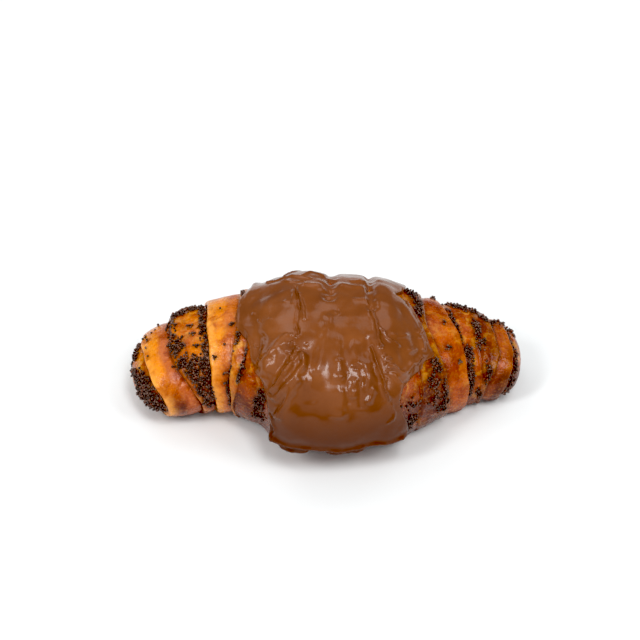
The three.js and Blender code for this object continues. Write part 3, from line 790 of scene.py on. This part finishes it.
def place_coating(sheet):
    """Wraps the flat sheet round the shell: outside, rim and inside."""
    ring = np.rint(np.abs(sheet).max(axis=1) * COATING_GRID / 2).astype(int)
    direction = np.arctan2(sheet[:, 1], sheet[:, 0])
    share, round_rim = coating_rings[ring, 0], coating_rings[ring, 1]
    radius = RIM_THICKNESS / 2
    inset_of_rim = radius * (1 - np.sin(math.pi * round_rim))
    distance = (reach_towards(direction) - inset_of_rim) * share
    inset = reach_towards(direction) - distance
    x = COATING_MIDDLE[0] + distance * np.cos(direction)
    angle = COATING_MIDDLE[1] + distance * np.sin(direction) / ARC_RADIUS
    outside = coating_height(x, angle, inset)
    inside = crust_height(x, angle) - COATING_SINK
    amount = (1 + np.cos(math.pi * round_rim)) / 2
    height = inside + (outside - inside) * amount
    return on_skin(x, angle, height), {"lowness": np.abs(angle)}


def gather_border(bm):
    """Pairs the vertices on the border of a sheet with one of them, to gather it to a point."""
    border = [vert for vert in bm.verts if vert.is_boundary]
    return {vert: border[0] for vert in border[1:]}


coating = closed_skin("chocolate_coat", COATING_GRID, COATING_GRID, gather_border, place_coating)

# %% [markdown]
# ## Poppy seeds
#
# A poppy seed is a dark, brown-black kidney, here 1.0 to 1.3 mm long.  Thousands of them
# cling in drifts along the seedy turns, two deep in places, and a few strays lie
# on the smooth ones.  One seed is shaped from a small sphere, bent into a kidney,
# and copied to every place in one joined mesh.
#
# Letting them fall as rigid bodies would seat every seed.  Here the upper layer is
# only raised by a fixed height, so that about one seed in 24 touches nothing and
# hangs up to 0.7 mm above the crust.

# %% Where the seeds lie
# a path of turn places (turn + share of its width) and degrees, its spread, and how many
SEED_DRIFTS = [
    # left end: packed below, a thinner line over the top
    ([(0.4, 44), (0.53, 59), (0.55, 78), (0.62, 97), (0.6, 112)], 0.28, 520),
    ([(0.28, 12), (0.45, -9), (0.57, -33)], 0.16, 60),
    ([(0.5, -60), (0.6, -140)], 0.35, 100),
    ([(1.1, -17), (1.4, -31)], 0.1, 5),
    # the wide seedy turn: its left rim, its top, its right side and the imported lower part
    ([(2.05, -45), (2.0, -25), (2.05, -1), (2.12, 17), (2.17, 37)], 0.12, 130),
    ([(2.09, -35), (2.33, -30), (2.6, -30), (2.9, -31)], 0.1, 80),
    ([(2.9, -25), (2.86, -2), (2.93, 12), (2.9, 27), (2.92, 38)], 0.1, 120),
    ([(2.2, 16), (2.27, 31)], 0.13, 75),
    ([(2.3, 41), (2.55, 50), (2.6, 62), (2.62, 74), (2.7, 84), (2.6, 97)], 0.3, 800),
    ([(2.88, 45), (2.9, 62), (2.9, 84), (2.88, 99)], 0.07, 125),
    ([(2.2, -150), (2.4, -90), (2.5, -45)], 0.35, 170),
    # the narrow turns next to the chocolate
    ([(4.35, -30), (4.54, -14)], 0.15, 35),
    ([(4.24, 19), (4.33, 26), (4.24, 34)], 0.08, 30),
    ([(4.2, 48), (3.93, 69), (3.9, 88), (4.0, 100)], 0.06, 35),
    ([(4.95, 28), (4.98, 38), (4.94, 46), (4.98, 56), (4.96, 66)], 0.06, 75),
    ([(5.52, 70), (5.48, 83), (5.52, 92), (5.45, 103)], 0.08, 110),
    # right of the chocolate
    ([(8.2, -38), (8.5, -30), (8.63, -19), (8.56, -5)], 0.16, 110),
    ([(8.69, 42), (8.6, 47)], 0.14, 40),
    ([(8.32, 52), (8.47, 65), (8.4, 76)], 0.13, 45),
    ([(8.8, 64), (8.75, 85), (8.6, 96)], 0.12, 55),
    ([(7.5, 93), (7.7, 99)], 0.2, 55),
    ([(7.55, 72), (8.0, 80)], 0.3, 20),
    ([(9.5, -49), (10.2, -45)], 0.1, 20),
    ([(10.2, -22), (10.16, -5), (10.1, 4), (10.05, 12), (10.06, 24)], 0.06, 65),
    ([(10.2, 33), (10.4, 39), (10.3, 49), (10.3, 62), (10.15, 78), (10.1, 95)], 0.14, 250),
    ([(11.1, -2), (11.08, 15)], 0.12, 40),
    ([(11.06, 29), (11.34, 21)], 0.14, 20),
    ([(11.5, 54), (11.48, 73)], 0.14, 35),
    ([(11.1, 100), (10.7, 88)], 0.15, 20),
    ([(10.5, -42), (10.9, -33), (11.33, -30)], 0.14, 100),
    ([(11.5, -21), (11.9, -17), (12.5, -32), (13.0, -31)], 0.16, 55),
    ([(13.05, -20), (13.1, 10), (13.25, 32), (13.3, 54), (13.3, 76), (13.25, 99), (13.2, 118)], 0.12, 275),
    ([(13.3, -140), (13.3, -30)], 0.3, 100),
    ([(10.3, -150), (10.5, -90), (10.7, -50)], 0.3, 130),
    ([(5.3, -140), (5.5, -60)], 0.3, 60),
]
# seeds stuck together on the smooth turns: turn place, degrees and how many
CLUMPS = [
    (1.2, 6, 1), (1.6, -40, 2), (3.29, 45, 4), (3.47, -7, 1), (3.8, 14, 2), (3.85, 12, 3), (3.7, 33, 1),
    (2.62, 13, 5), (2.66, 28, 5), (2.55, 2, 5), (9.6, 1, 4), (9.4, 28, 6), (9.62, 45, 5), (8.5, 88, 4),
    (2.4, 24, 2), (10.5, 33, 5), (1.3, -8, 2), (1.25, 20, 1), (3.8, 60, 3), (3.85, 70, 3),
]
wanted_seeds = sum(count for _, _, count in SEED_DRIFTS) + sum(count for _, _, count in CLUMPS)
print(wanted_seeds, "seeds are wanted in", len(SEED_DRIFTS), "drifts and", len(CLUMPS), "clumps")

# %% The seeds are strewn
SEED_LENGTH, SEED_WIDTH = 1.22, 0.98
SEED_SPACING = 0.8
DRIFT_SCATTER, DRIFT_LIMIT = 0.6, 1.4  # usual and greatest distance from the path, in spreads
DRIFT_STRAY = 3.0  # degrees that a seed usually strays along the path
TRIES = 4  # places tried for each seed that is wanted
SECOND_LAYER = 0.3  # share of the crowded places that may take a raised seed
SEEDS_BELOW = 4  # how many seeds have to lie near a raised one
COATING_GAP = 0.5  # mm between the chocolate's outline and the nearest seed
LOWEST_SEED = 0.6  # mm above the tray
CLUMP_STEP = 0.52  # mm from one seed of a clump to the next
CLUMP_LAYERS = 3  # every third seed of a clump is raised, and so is the first, even alone
GOLDEN_ANGLE = math.pi * (3 - math.sqrt(5))
BARE_SPOTS = (1.0, 2.6, 21)  # soft noise that leaves gaps in the drifts
BARE_BELOW = -0.33
SCATTER_SEED = 11
rng = np.random.default_rng(SCATTER_SEED)


def drift_places(path, spread, count):
    """Random places along one drift, thinning out towards its edges."""
    path = np.array(path, dtype=float)
    along = rng.random(count) * (len(path) - 1)
    step = along.astype(int)
    t = (along - step)[:, None]
    place = path[step] * (1 - t) + path[step + 1] * t
    place[:, 0] += np.clip(rng.normal(0, DRIFT_SCATTER, count), -DRIFT_LIMIT, DRIFT_LIMIT) * spread
    place[:, 1] += rng.normal(0, DRIFT_STRAY, count)
    return place


def crust_place(places):
    """The x and angle of places given as turn + share of its width, and degrees."""
    turn = np.clip(places[:, 0].astype(int), 0, TURN_COUNT - 1)
    angle = np.radians(places[:, 1])
    left, right = turn_edges(turn, angle)
    return left + (right - left) * (places[:, 0] - turn), angle


def clump_places(turn, degrees, count):
    """A few places packed round one, given as turn + share of its width, and degrees."""
    number = np.arange(count)
    reach = CLUMP_STEP * np.sqrt(number)
    direction = number * GOLDEN_ANGLE + turn
    x, angle = crust_place(np.array([(turn, degrees)]))
    return x + reach * np.cos(direction), angle + reach * np.sin(direction) / END_RADIUS


class Crowd:
    """The seeds that lie so far, kept in cells so that the ones near a point are soon found."""

    def __init__(self):
        self.cells = {}

    def cell(self, point):
        return np.floor(point / SEED_LENGTH).astype(int)

    def add(self, point, layer):
        self.cells.setdefault(tuple(self.cell(point)), []).append((point, layer))

    def layer_for(self, point, may_be_raised):
        """0 for the crust, 1 for the raised layer, and None where there is room in neither."""
        near = [seed for step in itertools.product((-1, 0, 1), repeat=3)
                for seed in self.cells.get(tuple(self.cell(point) + step), ())]
        below, above = ([np.linalg.norm(point - other) for other, layer in near if layer == wanted]
                        for wanted in (0, 1))
        if min(below, default=math.inf) >= SEED_SPACING:
            return 0
        packed = len(below) >= SEEDS_BELOW
        if may_be_raised and packed and min(above, default=math.inf) >= SEED_SPACING:
            return 1
        return None


def scatter_seeds():
    """The x, angle and layer of every seed: drifts keep SEED_SPACING in a layer, clumps do not."""
    crowd, kept = Crowd(), []
    drifts = [(drift_places(path, spread, count * TRIES), count) for path, spread, count in SEED_DRIFTS]
    for places, wanted in drifts:
        x, angle = crust_place(places)
        points = on_skin(x, angle, crust_height(x, angle))
        free = (beyond_coating(x, angle) > COATING_GAP) & (points[:, 2] > LOWEST_SEED)
        free &= hills(points, *BARE_SPOTS) > BARE_BELOW
        may_be_raised = rng.random(len(x)) < SECOND_LAYER
        full = len(kept) + wanted
        for number in np.flatnonzero(free):
            if len(kept) == full:
                break
            layer = crowd.layer_for(points[number], may_be_raised[number])
            if layer is not None:
                crowd.add(points[number], layer)
                kept.append((x[number], angle[number], layer))
    for clump in CLUMPS:
        for number, (x, angle) in enumerate(zip(*clump_places(*clump))):
            kept.append((x, angle, number % CLUMP_LAYERS == 0))
    return np.array(kept)


seed_places = scatter_seeds()
print(len(seed_places), "poppy seeds,", int(seed_places[:, 2].sum()), "of them in the raised layer")

# %% One seed, and all of them
SEED_SEGMENTS, SEED_RINGS = 7, 4
SEED_FLATNESS = 0.9
SEED_BEND = 0.4
SEED_SIZES = (0.84, 1.12)
SEED_TILT, TOP_SEED_TILT = 0.25, 0.3  # rise of its long axis: usual, and added when raised
SEED_LIFT, TOP_SEED_LIFT = 0.2, 0.62  # in seed widths: its middle above the crust, and added when raised
UNEVEN_LIFT = (-0.08, 0.22)  # mm
STAIN_REACH = 1.8  # mm
STAIN_SEEDS = 8  # this many seeds within reach stain the dough fully


def seed_template():
    """A small sphere, stretched and bent into a kidney; its vertices and faces."""
    bm = bmesh.new()
    bmesh.ops.create_uvsphere(bm, u_segments=SEED_SEGMENTS, v_segments=SEED_RINGS, radius=0.5)
    bmesh.ops.scale(bm, vec=Vector((SEED_LENGTH, SEED_WIDTH, SEED_WIDTH * SEED_FLATNESS)), verts=bm.verts)
    for vert in bm.verts:
        vert.co.y += SEED_BEND * vert.co.x ** 2 / SEED_LENGTH
    points = np.array([vert.co for vert in bm.verts])
    faces = [[vert.index for vert in face.verts] for face in bm.faces]
    bm.free()
    return points, faces


def unit(vectors):
    return vectors / np.linalg.norm(vectors, axis=-1, keepdims=True)


def seed_axes(outward, layer):
    """The three axes of every seed, which lies turned at random and tilted a little."""
    spin = rng.random(len(layer)) * 2 * math.pi
    size = rng.uniform(*SEED_SIZES, len(layer))
    along = unit(np.cross(outward, (0.0, 0.0, 1.0)))
    side = np.cross(outward, along)
    tilt = rng.normal(0, SEED_TILT + TOP_SEED_TILT * layer)
    axis_x = unit(along * np.cos(spin)[:, None] + side * np.sin(spin)[:, None] + outward * tilt[:, None])
    axis_y = unit(np.cross(outward, axis_x))
    axis_z = np.cross(axis_x, axis_y)
    return np.stack([axis_x, axis_y, axis_z], axis=1) * size[:, None, None]


def add_seeds(name, places):
    """All the seeds in one mesh, each with a tint of its own."""
    x, angle, layer = places.T
    base = on_skin(x, angle, crust_height(x, angle))
    outward = skin_normal(x, angle)
    axes = seed_axes(outward, layer)
    lift = SEED_WIDTH * (SEED_LIFT + TOP_SEED_LIFT * layer) + rng.uniform(*UNEVEN_LIFT, len(x))
    centre = base + outward * lift[:, None]
    shape, faces = seed_template()
    points = centre[:, None, :] + shape @ axes
    step = len(shape)
    all_faces = [[vertex + step * i for vertex in face] for i in range(len(x)) for face in faces]
    mesh = bpy.data.meshes.new(name)
    mesh.from_pydata((points.reshape(-1, 3) * MM).tolist(), [], all_faces)
    store_mask(mesh, "tint", np.repeat(rng.random(len(x)), step))
    mesh.shade_smooth()
    print(name, "has", triangle_count(mesh), "triangles")
    return new_object(name, mesh)


def add_stain(piece, places):
    """Stores how thickly seeds lie round each point of the dough, as they stain it brown."""
    x, angle, _ = places.T
    tree = KDTree(len(places))
    for number, point in enumerate(on_skin(x, angle, crust_height(x, angle)) * MM):
        tree.insert(point, number)
    tree.balance()
    near = [len(tree.find_range(vert.co, STAIN_REACH * MM)) for vert in piece.data.vertices]
    stain = np.clip(np.array(near, dtype=np.float32) / STAIN_SEEDS, 0, 1)
    store_mask(piece.data, "stain", stain)
    print(f"the seeds stain {stain.mean():.0%} of the dough's points")


add_stain(dough, seed_places)
seeds = add_seeds("poppy_seeds", seed_places)

# %% [markdown]
# ## Materials
#
# Each finish is a Principled BSDF fed by noise and by the masks.  Two effects
# are used by more than one finish, so they are node groups with their own
# inputs: a fine grain, and a patchiness that keeps a colour from being even.

# %% Helpers for materials
# the colour sockets of a Mix node, which also has sockets for other kinds of data
FIRST_COLOUR, SECOND_COLOUR, MIXED_COLOUR = 6, 7, 2


def srgb(red, green, blue):
    """A colour read from 0 to 255 on screen, as the linear values a shader takes."""
    def to_linear(value):
        value /= 255
        return value / 12.92 if value <= 0.04045 else ((value + 0.055) / 1.055) ** 2.4

    return (to_linear(red), to_linear(green), to_linear(blue), 1.0)


class Wiring:
    """Adds nodes to a tree and joins them by socket name."""

    def __init__(self, tree):
        self.tree = tree

    def node(self, kind, settings=None, **inputs):
        """A node of a kind, with its settings, and a value or a link for each named input."""
        made = self.tree.nodes.new(kind)
        for key, value in (settings or {}).items():
            setattr(made, key, value)
        for key, value in inputs.items():
            self.feed(made.inputs[key.replace("_", " ")], value)
        return made

    def feed(self, socket, value):
        """Links a socket into another, or sets it to a plain value."""
        if isinstance(value, bpy.types.NodeSocket):
            self.tree.links.new(value, socket)
        else:
            socket.default_value = value

    def math(self, operation, *values):
        made = self.node("ShaderNodeMath", {"operation": operation})
        for socket, value in zip(made.inputs, values):
            self.feed(socket, value)
        return made.outputs[0]

    def mix(self, factor, first, second, blend="MIX"):
        """The first colour, covered with the second as far as the factor says."""
        made = self.node("ShaderNodeMix", {"data_type": "RGBA", "blend_type": blend}, Factor=factor)
        self.feed(made.inputs[FIRST_COLOUR], first)
        self.feed(made.inputs[SECOND_COLOUR], second)
        return made.outputs[MIXED_COLOUR]

    def ramp(self, value, low, high, out_low=0.0, out_high=1.0):
        """Rises softly between two outputs while the value goes from low to high."""
        made = self.node("ShaderNodeMapRange", {"interpolation_type": "SMOOTHSTEP"})
        for socket, number in zip(made.inputs, (value, low, high, out_low, out_high)):
            self.feed(socket, number)
        return made.outputs[0]

    def attribute(self, name):
        """A mask that is stored on the mesh."""
        return self.node("ShaderNodeAttribute", {"attribute_name": name}).outputs["Fac"]


def new_group(name, inputs, outputs):
    """An empty node group, with its wiring and its own input and output nodes."""
    group = bpy.data.node_groups.new(name, "ShaderNodeTree")
    for socket, value in inputs.items():
        made = group.interface.new_socket(socket, in_out="INPUT", socket_type="NodeSocketFloat")
        made.default_value = value
    for socket in outputs:
        group.interface.new_socket(socket, in_out="OUTPUT", socket_type="NodeSocketFloat")
    wires = Wiring(group)
    return group, wires, wires.node("NodeGroupInput"), wires.node("NodeGroupOutput")


def new_material(name):
    """A material, with its wiring and its shader."""
    material = bpy.data.materials.new(name)
    material.use_nodes = True
    return material, Wiring(material.node_tree), material.node_tree.nodes["Principled BSDF"]


print("a mid grey as a shader takes it:", [round(v, 3) for v in srgb(128, 128, 128)])

# %% Grain and patchiness, shared by the finishes
MIDDLE_GREY = 0.5


def place_and_scale(wires, size):
    """Where a noise is read, and the scale that gives its features a size in mm."""
    return {"Vector": wires.node("ShaderNodeTexCoord").outputs["Object"],
            "Scale": wires.math("DIVIDE", 1 / MM, size)}


def grain_group():
    """Fine bumps: Height, from noise of a given size in mm."""
    group, wires, inputs, outputs = new_group("fine grain", {"Size": 1.0, "Roughness": 0.6}, ["Height"])
    texture = wires.node("ShaderNodeTexNoise", **place_and_scale(wires, inputs.outputs["Size"]),
                         Detail=3.0, Roughness=inputs.outputs["Roughness"])
    wires.feed(outputs.inputs["Height"], texture.outputs["Fac"])
    return group


def patch_group():
    """Slow patches between 0 and 1, of a given size in mm."""
    group, wires, inputs, outputs = new_group("slow patches", {"Size": 10.0, "Contrast": 1.0}, ["Patch"])
    texture = wires.node("ShaderNodeTexNoise", **place_and_scale(wires, inputs.outputs["Size"]),
                         Detail=2.0, Distortion=0.4)
    centred = wires.math("SUBTRACT", texture.outputs["Fac"], MIDDLE_GREY)
    spread = wires.math("MULTIPLY_ADD", centred, inputs.outputs["Contrast"], MIDDLE_GREY)
    clamped = wires.math("MAXIMUM", wires.math("MINIMUM", spread, 1.0), 0.0)
    wires.feed(outputs.inputs["Patch"], clamped)
    return group


grain = grain_group()
patches = patch_group()


def use_group(wires, group, **inputs):
    return wires.node("ShaderNodeGroup", {"node_tree": group}, **inputs).outputs[0]


def patchy(wires, size, contrast):
    return use_group(wires, patches, Size=size, Contrast=contrast)


def add_grain(wires, shader, size, roughness, strength, depth):
    """Roughens a finish with fine bumps of a size and a depth in mm."""
    fine = use_group(wires, grain, Size=size, Roughness=roughness)
    bump = wires.node("ShaderNodeBump", Strength=strength, Distance=depth * MM, Height=fine)
    wires.feed(shader.inputs["Normal"], bump.outputs["Normal"])


print("node groups:", [group.name for group in bpy.data.node_groups])

# %% [markdown]
# Egg wash bakes to a thin, glossy skin: golden on top, orange-brown and then
# red-brown where it got hotter, pale where it was wiped off a lip and pinkish
# where the dough had none.  Part of the red-brown is painted shade: on the
# right-hand turns, on the lower sides, along the seams and at the base, and the
# pale flecks are painted glints.  One colour ramp could not say where each of
# these lies, so the tints are laid over one another and each follows its own mask.

# %% Egg-washed crust
GOLDEN = srgb(238, 140, 28)
PALE_CRUMB_AND_GLINT = srgb(250, 172, 80)
YELLOW_CRUMB = srgb(226, 164, 64)
TAN_CRUMB = srgb(184, 96, 52)
ORANGE_BROWN = srgb(174, 79, 12)
RED_BROWN = srgb(92, 32, 6)
STAIN_BROWN = srgb(104, 46, 18)
WARM_SHADE = (0.6, 0.36, 0.14, 1.0)  # multiplies a colour where the crust is mottled
# patchiness: the size of the patches in mm, and their contrast
UNEVEN_BAKING, STREAKS, SMALL_PATCHES, PAINTED_GLINTS = (9.0, 2.4), (4.0, 2.6), (1.2, 2.6), (0.9, 3.4)
BAKING_VARIES = 0.45
# from where to where on the scale of browning and painted shade, or of patchiness, a colour comes in
ORANGE_BETWEEN, RED_BETWEEN = (0.0, 0.6), (0.55, 1.25)
STREAK_BETWEEN, SPECKLE_BETWEEN = (0.48, 0.85), (0.5, 0.95)
MOTTLE_BETWEEN, GLINT_BETWEEN = (0.4, 1.0), (0.75, 1.0)
YELLOW_STRENGTH = 0.95
STORED_MASKS = ("pale_lip", "tan_slope", "blistered", "crease", "stain")
# the tints that are laid on in turn: what they follow, how strong they are, their colour
TINTS = (
    ("pale_lip", 0.85, PALE_CRUMB_AND_GLINT),
    ("tan_slope", 0.9, TAN_CRUMB),
    ("speckle", 0.4, RED_BROWN),
    # painted shade along the seams, with some browning
    ("crease", 0.6, RED_BROWN),
    # painted contact shade at the base, with a browner underside
    ("base_browning_and_shade", 0.75, RED_BROWN),
    ("stain", 0.65, STAIN_BROWN),
)
MOTTLES = ((1.6, 0.3), (6.0, 0.75))  # size in mm and strength
MOTTLE_CONTRAST = 3.4
# the pale flecks are painted glints: how strongly they lighten the crust
GLINT_STRENGTH = 0.16
BASE_BROWNING_AND_SHADE = (8.0 * MM, 3.0 * MM)  # between these heights the crust is painted darker towards the tray: a browner underside and painted contact shade
CRUST_ROUGHNESS = (0.16, 0.34)
DULLER_AT_THE_BASE = 0.35
CRUST_GRAIN = {"size": 1.1, "roughness": 0.6, "strength": 0.7, "depth": 0.3}
CRUST_GLOSS = 0.34


def baked_and_shaded_colour(wires, blistered):
    """Golden to orange-brown to red-brown, partly painted shade; yellow crumb on blistered turns."""
    patch = wires.math("SUBTRACT", patchy(wires, *UNEVEN_BAKING), MIDDLE_GREY)
    baked_and_shaded = wires.math("ADD", wires.attribute("browning_and_shade"), wires.math("MULTIPLY", patch, BAKING_VARIES))
    colour = wires.mix(wires.ramp(baked_and_shaded, *ORANGE_BETWEEN), GOLDEN, ORANGE_BROWN)
    streak = wires.ramp(patchy(wires, *STREAKS), *STREAK_BETWEEN)
    yellow = wires.math("MULTIPLY", blistered, streak)
    colour = wires.mix(wires.math("MULTIPLY", yellow, YELLOW_STRENGTH), colour, YELLOW_CRUMB)
    return wires.mix(wires.ramp(baked_and_shaded, *RED_BETWEEN), colour, RED_BROWN)


def mottled(wires, colour):
    """Warm darker mottles and a few pale flecks, painted glints, over a colour."""
    for size, strength in MOTTLES:
        mottle = wires.ramp(patchy(wires, size, MOTTLE_CONTRAST), *MOTTLE_BETWEEN)
        colour = wires.mix(wires.math("MULTIPLY", mottle, strength), colour, WARM_SHADE, "MULTIPLY")
    glint = wires.ramp(patchy(wires, *PAINTED_GLINTS), *GLINT_BETWEEN, 0.0, GLINT_STRENGTH)
    return wires.mix(glint, colour, PALE_CRUMB_AND_GLINT)


def crust_material():
    material, wires, shader = new_material("egg_washed_crust")
    masks = {name: wires.attribute(name) for name in STORED_MASKS}
    small_patch = patchy(wires, *SMALL_PATCHES)
    place = wires.node("ShaderNodeTexCoord").outputs["Object"]
    height = wires.node("ShaderNodeSeparateXYZ", Vector=place).outputs["Z"]
    # painted contact shade and a browner underside near the tray
    masks["base_browning_and_shade"] = wires.ramp(height, *BASE_BROWNING_AND_SHADE)
    masks["speckle"] = wires.math("MULTIPLY", masks["blistered"], wires.ramp(small_patch, *SPECKLE_BETWEEN))
    colour = baked_and_shaded_colour(wires, masks["blistered"])
    for mask, strength, tint in TINTS:
        colour = wires.mix(wires.math("MULTIPLY", masks[mask], strength), colour, tint)
    wires.feed(shader.inputs["Base Color"], mottled(wires, colour))
    gloss = wires.ramp(small_patch, 0.0, 1.0, *CRUST_ROUGHNESS)
    duller = wires.math("MULTIPLY", masks["base_browning_and_shade"], DULLER_AT_THE_BASE)
    wires.feed(shader.inputs["Roughness"], wires.math("ADD", gloss, duller))
    add_grain(wires, shader, **CRUST_GRAIN)
    shader.inputs["Specular IOR Level"].default_value = CRUST_GLOSS
    return material


crust_finish = crust_material()
print("made", crust_finish.name)

# %% [markdown]
# Milk chocolate sets smooth, with a soft gloss.  Where it turns down towards the
# tray it is painted darker and warmer, as painted shade.  Hardly any light passes
# through it, so it needs no subsurface scattering: two close browns in slow
# patches, a low roughness and very shallow bumps are enough.

# %% Milk chocolate
CHOCOLATE = srgb(139, 84, 50)
DARK_CHOCOLATE = srgb(115, 67, 40)
# painted shade: the chocolate is darker where it turns down towards the tray
SHADED_LOW_CHOCOLATE = srgb(88, 43, 15)
PAINTED_SHADE_BETWEEN = (0.8, 1.7)  # radians round the bun from the crest
CHOCOLATE_PATCHES = (14.0, 1.8)
CHOCOLATE_ROUGHNESS = (0.17, 0.23)
CHOCOLATE_GRAIN = {"size": 1.6, "roughness": 0.4, "strength": 0.2, "depth": 0.1}
CHOCOLATE_GLOSS = 0.33


def chocolate_material():
    material, wires, shader = new_material("milk_chocolate")
    patch = patchy(wires, *CHOCOLATE_PATCHES)
    colour = wires.mix(patch, DARK_CHOCOLATE, CHOCOLATE)
    # painted shade, darker towards the tray
    low = wires.ramp(wires.attribute("lowness"), *PAINTED_SHADE_BETWEEN)
    wires.feed(shader.inputs["Base Color"], wires.mix(low, colour, SHADED_LOW_CHOCOLATE))
    wires.feed(shader.inputs["Roughness"], wires.ramp(patch, 0.0, 1.0, *CHOCOLATE_ROUGHNESS))
    add_grain(wires, shader, **CHOCOLATE_GRAIN)
    shader.inputs["Specular IOR Level"].default_value = CHOCOLATE_GLOSS
    return material


chocolate_finish = chocolate_material()
print("made", chocolate_finish.name)

# %% [markdown]
# The husks of poppy seeds are dry and finely pitted, and no two have the same
# shade.  A material for each shade would do, but every seed already has a random
# tint on its mesh, so that one material gives dark, greyish and rusty seeds.

# %% Poppy seed husk
SEED_BLACK = srgb(62, 40, 32)
SEED_GREY = srgb(112, 84, 72)
SEED_RUST = srgb(124, 66, 42)
GREY_BETWEEN, RUST_BETWEEN = (0.35, 0.8), (0.82, 1.0)  # on the scale of the seeds' own tint
SEED_GRAIN = {"size": 0.18, "roughness": 0.5, "strength": 0.5, "depth": 0.05}
SEED_ROUGHNESS = 0.3
SEED_GLOSS = 0.45


def seed_material():
    material, wires, shader = new_material("poppy_seed_husk")
    tint = wires.attribute("tint")
    colour = wires.mix(wires.ramp(tint, *GREY_BETWEEN), SEED_BLACK, SEED_GREY)
    wires.feed(shader.inputs["Base Color"], wires.mix(wires.ramp(tint, *RUST_BETWEEN), colour, SEED_RUST))
    add_grain(wires, shader, **SEED_GRAIN)
    shader.inputs["Roughness"].default_value = SEED_ROUGHNESS
    shader.inputs["Specular IOR Level"].default_value = SEED_GLOSS
    return material


for piece, finish in ((dough, crust_finish), (coating, chocolate_finish), (seeds, seed_material())):
    piece.data.materials.append(finish)
    print(piece.name, "wears", finish.name)

# %% [markdown]
# ## Floor and light
#
# The bun stands on a plain white table that runs off the picture on all sides.
# Three tall softboxes, to the left and the right of the camera and high above it,
# make the gloss on the chocolate and the glint on the crust, and model the folds.
# Broad, weak boxes from the front, the left, the back and the top and a pale sky
# fill the shadows.

# %% Floor and light
FLOOR_SIZE = 6.0
FLOOR_WHITE = (0.88, 0.9, 0.905, 1.0)
FLOOR_ROUGHNESS = 0.9
FLOOR_GLOW = 0.01
SKY = 0.2
SKY_COLOUR = (1.0, 1.0, 1.0, 1.0)
DEEPEST_BLACK = 0.028  # what is darker than this prints as black
LIGHT_DISTANCE = 2.5
# direction (0 is the front, 90 the right), height in degrees, width and height in metres, watts
SOFTBOXES = {
    "top": (0, 80, 1.4, 1.4, 5),
    "key": (25, 62, 0.55, 1.0, 23),
    "left_window": (-52, 46, 0.55, 0.95, 21),
    "key_right": (60, 46, 0.7, 0.9, 12),
    "low_front": (0, 28, 3.0, 1.5, 9),
    "left": (-95, 42, 1.4, 1.4, 3),
    "back_left": (-145, 50, 1.4, 1.4, 10),
    "back_right": (145, 50, 1.4, 1.4, 8),
}


def add_floor():
    """The white table under the bun."""
    bm = bmesh.new()
    bmesh.ops.create_grid(bm, x_segments=1, y_segments=1, size=FLOOR_SIZE / 2)
    mesh = bpy.data.meshes.new("table_top")
    bm.to_mesh(mesh)
    bm.free()
    floor = new_object("table_top", mesh)
    material, _, shader = new_material("white_table")
    shader.inputs["Base Color"].default_value = FLOOR_WHITE
    shader.inputs["Roughness"].default_value = FLOOR_ROUGHNESS
    shader.inputs["Emission Color"].default_value = FLOOR_WHITE
    shader.inputs["Emission Strength"].default_value = FLOOR_GLOW
    mesh.materials.append(material)


def add_softbox(name, azimuth, elevation, width, height, power):
    """A flat light that faces the bun."""
    data = bpy.data.lights.new(name, "AREA")
    data.shape = "RECTANGLE"
    data.size, data.size_y = width, height
    data.energy = power
    light = new_object(name, data)
    turned, raised = math.radians(azimuth), math.radians(elevation)
    level = Vector((math.sin(turned), -math.cos(turned), 0)) * math.cos(raised)
    towards = level + Vector((0, 0, math.sin(raised)))
    light.location = towards * LIGHT_DISTANCE
    light.rotation_euler = towards.to_track_quat("Z", "Y").to_euler()


def add_sky(brightness):
    world = bpy.data.worlds.new("sky")
    world.use_nodes = True
    background = world.node_tree.nodes["Background"]
    background.inputs["Color"].default_value = SKY_COLOUR
    background.inputs["Strength"].default_value = brightness
    bpy.context.scene.world = world


def set_print_tone(deepest_black):
    """A plain screen image, whose darkest tones go to black as in print."""
    view = bpy.context.scene.view_settings
    view.view_transform = "Standard"
    view.use_curve_mapping = True
    view.curve_mapping.black_level = (deepest_black, deepest_black, deepest_black)
    view.curve_mapping.update()


add_floor()
for name, placing in SOFTBOXES.items():
    add_softbox("softbox_" + name, *placing)
add_sky(SKY)
set_print_tone(DEEPEST_BLACK)

# %% [markdown]
# ## Tie the pieces to the frame
#
# A bun has no moving parts, so everything rides on the one body.  The dough and
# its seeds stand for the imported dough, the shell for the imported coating.

# %% Tie up and finish
for piece, node, slot in ((dough, "dough", "crust"), (seeds, "dough", "poppy_seed"),
                          (coating, "chocolate_coating", "chocolate")):
    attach(piece, "root")
    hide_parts(node)
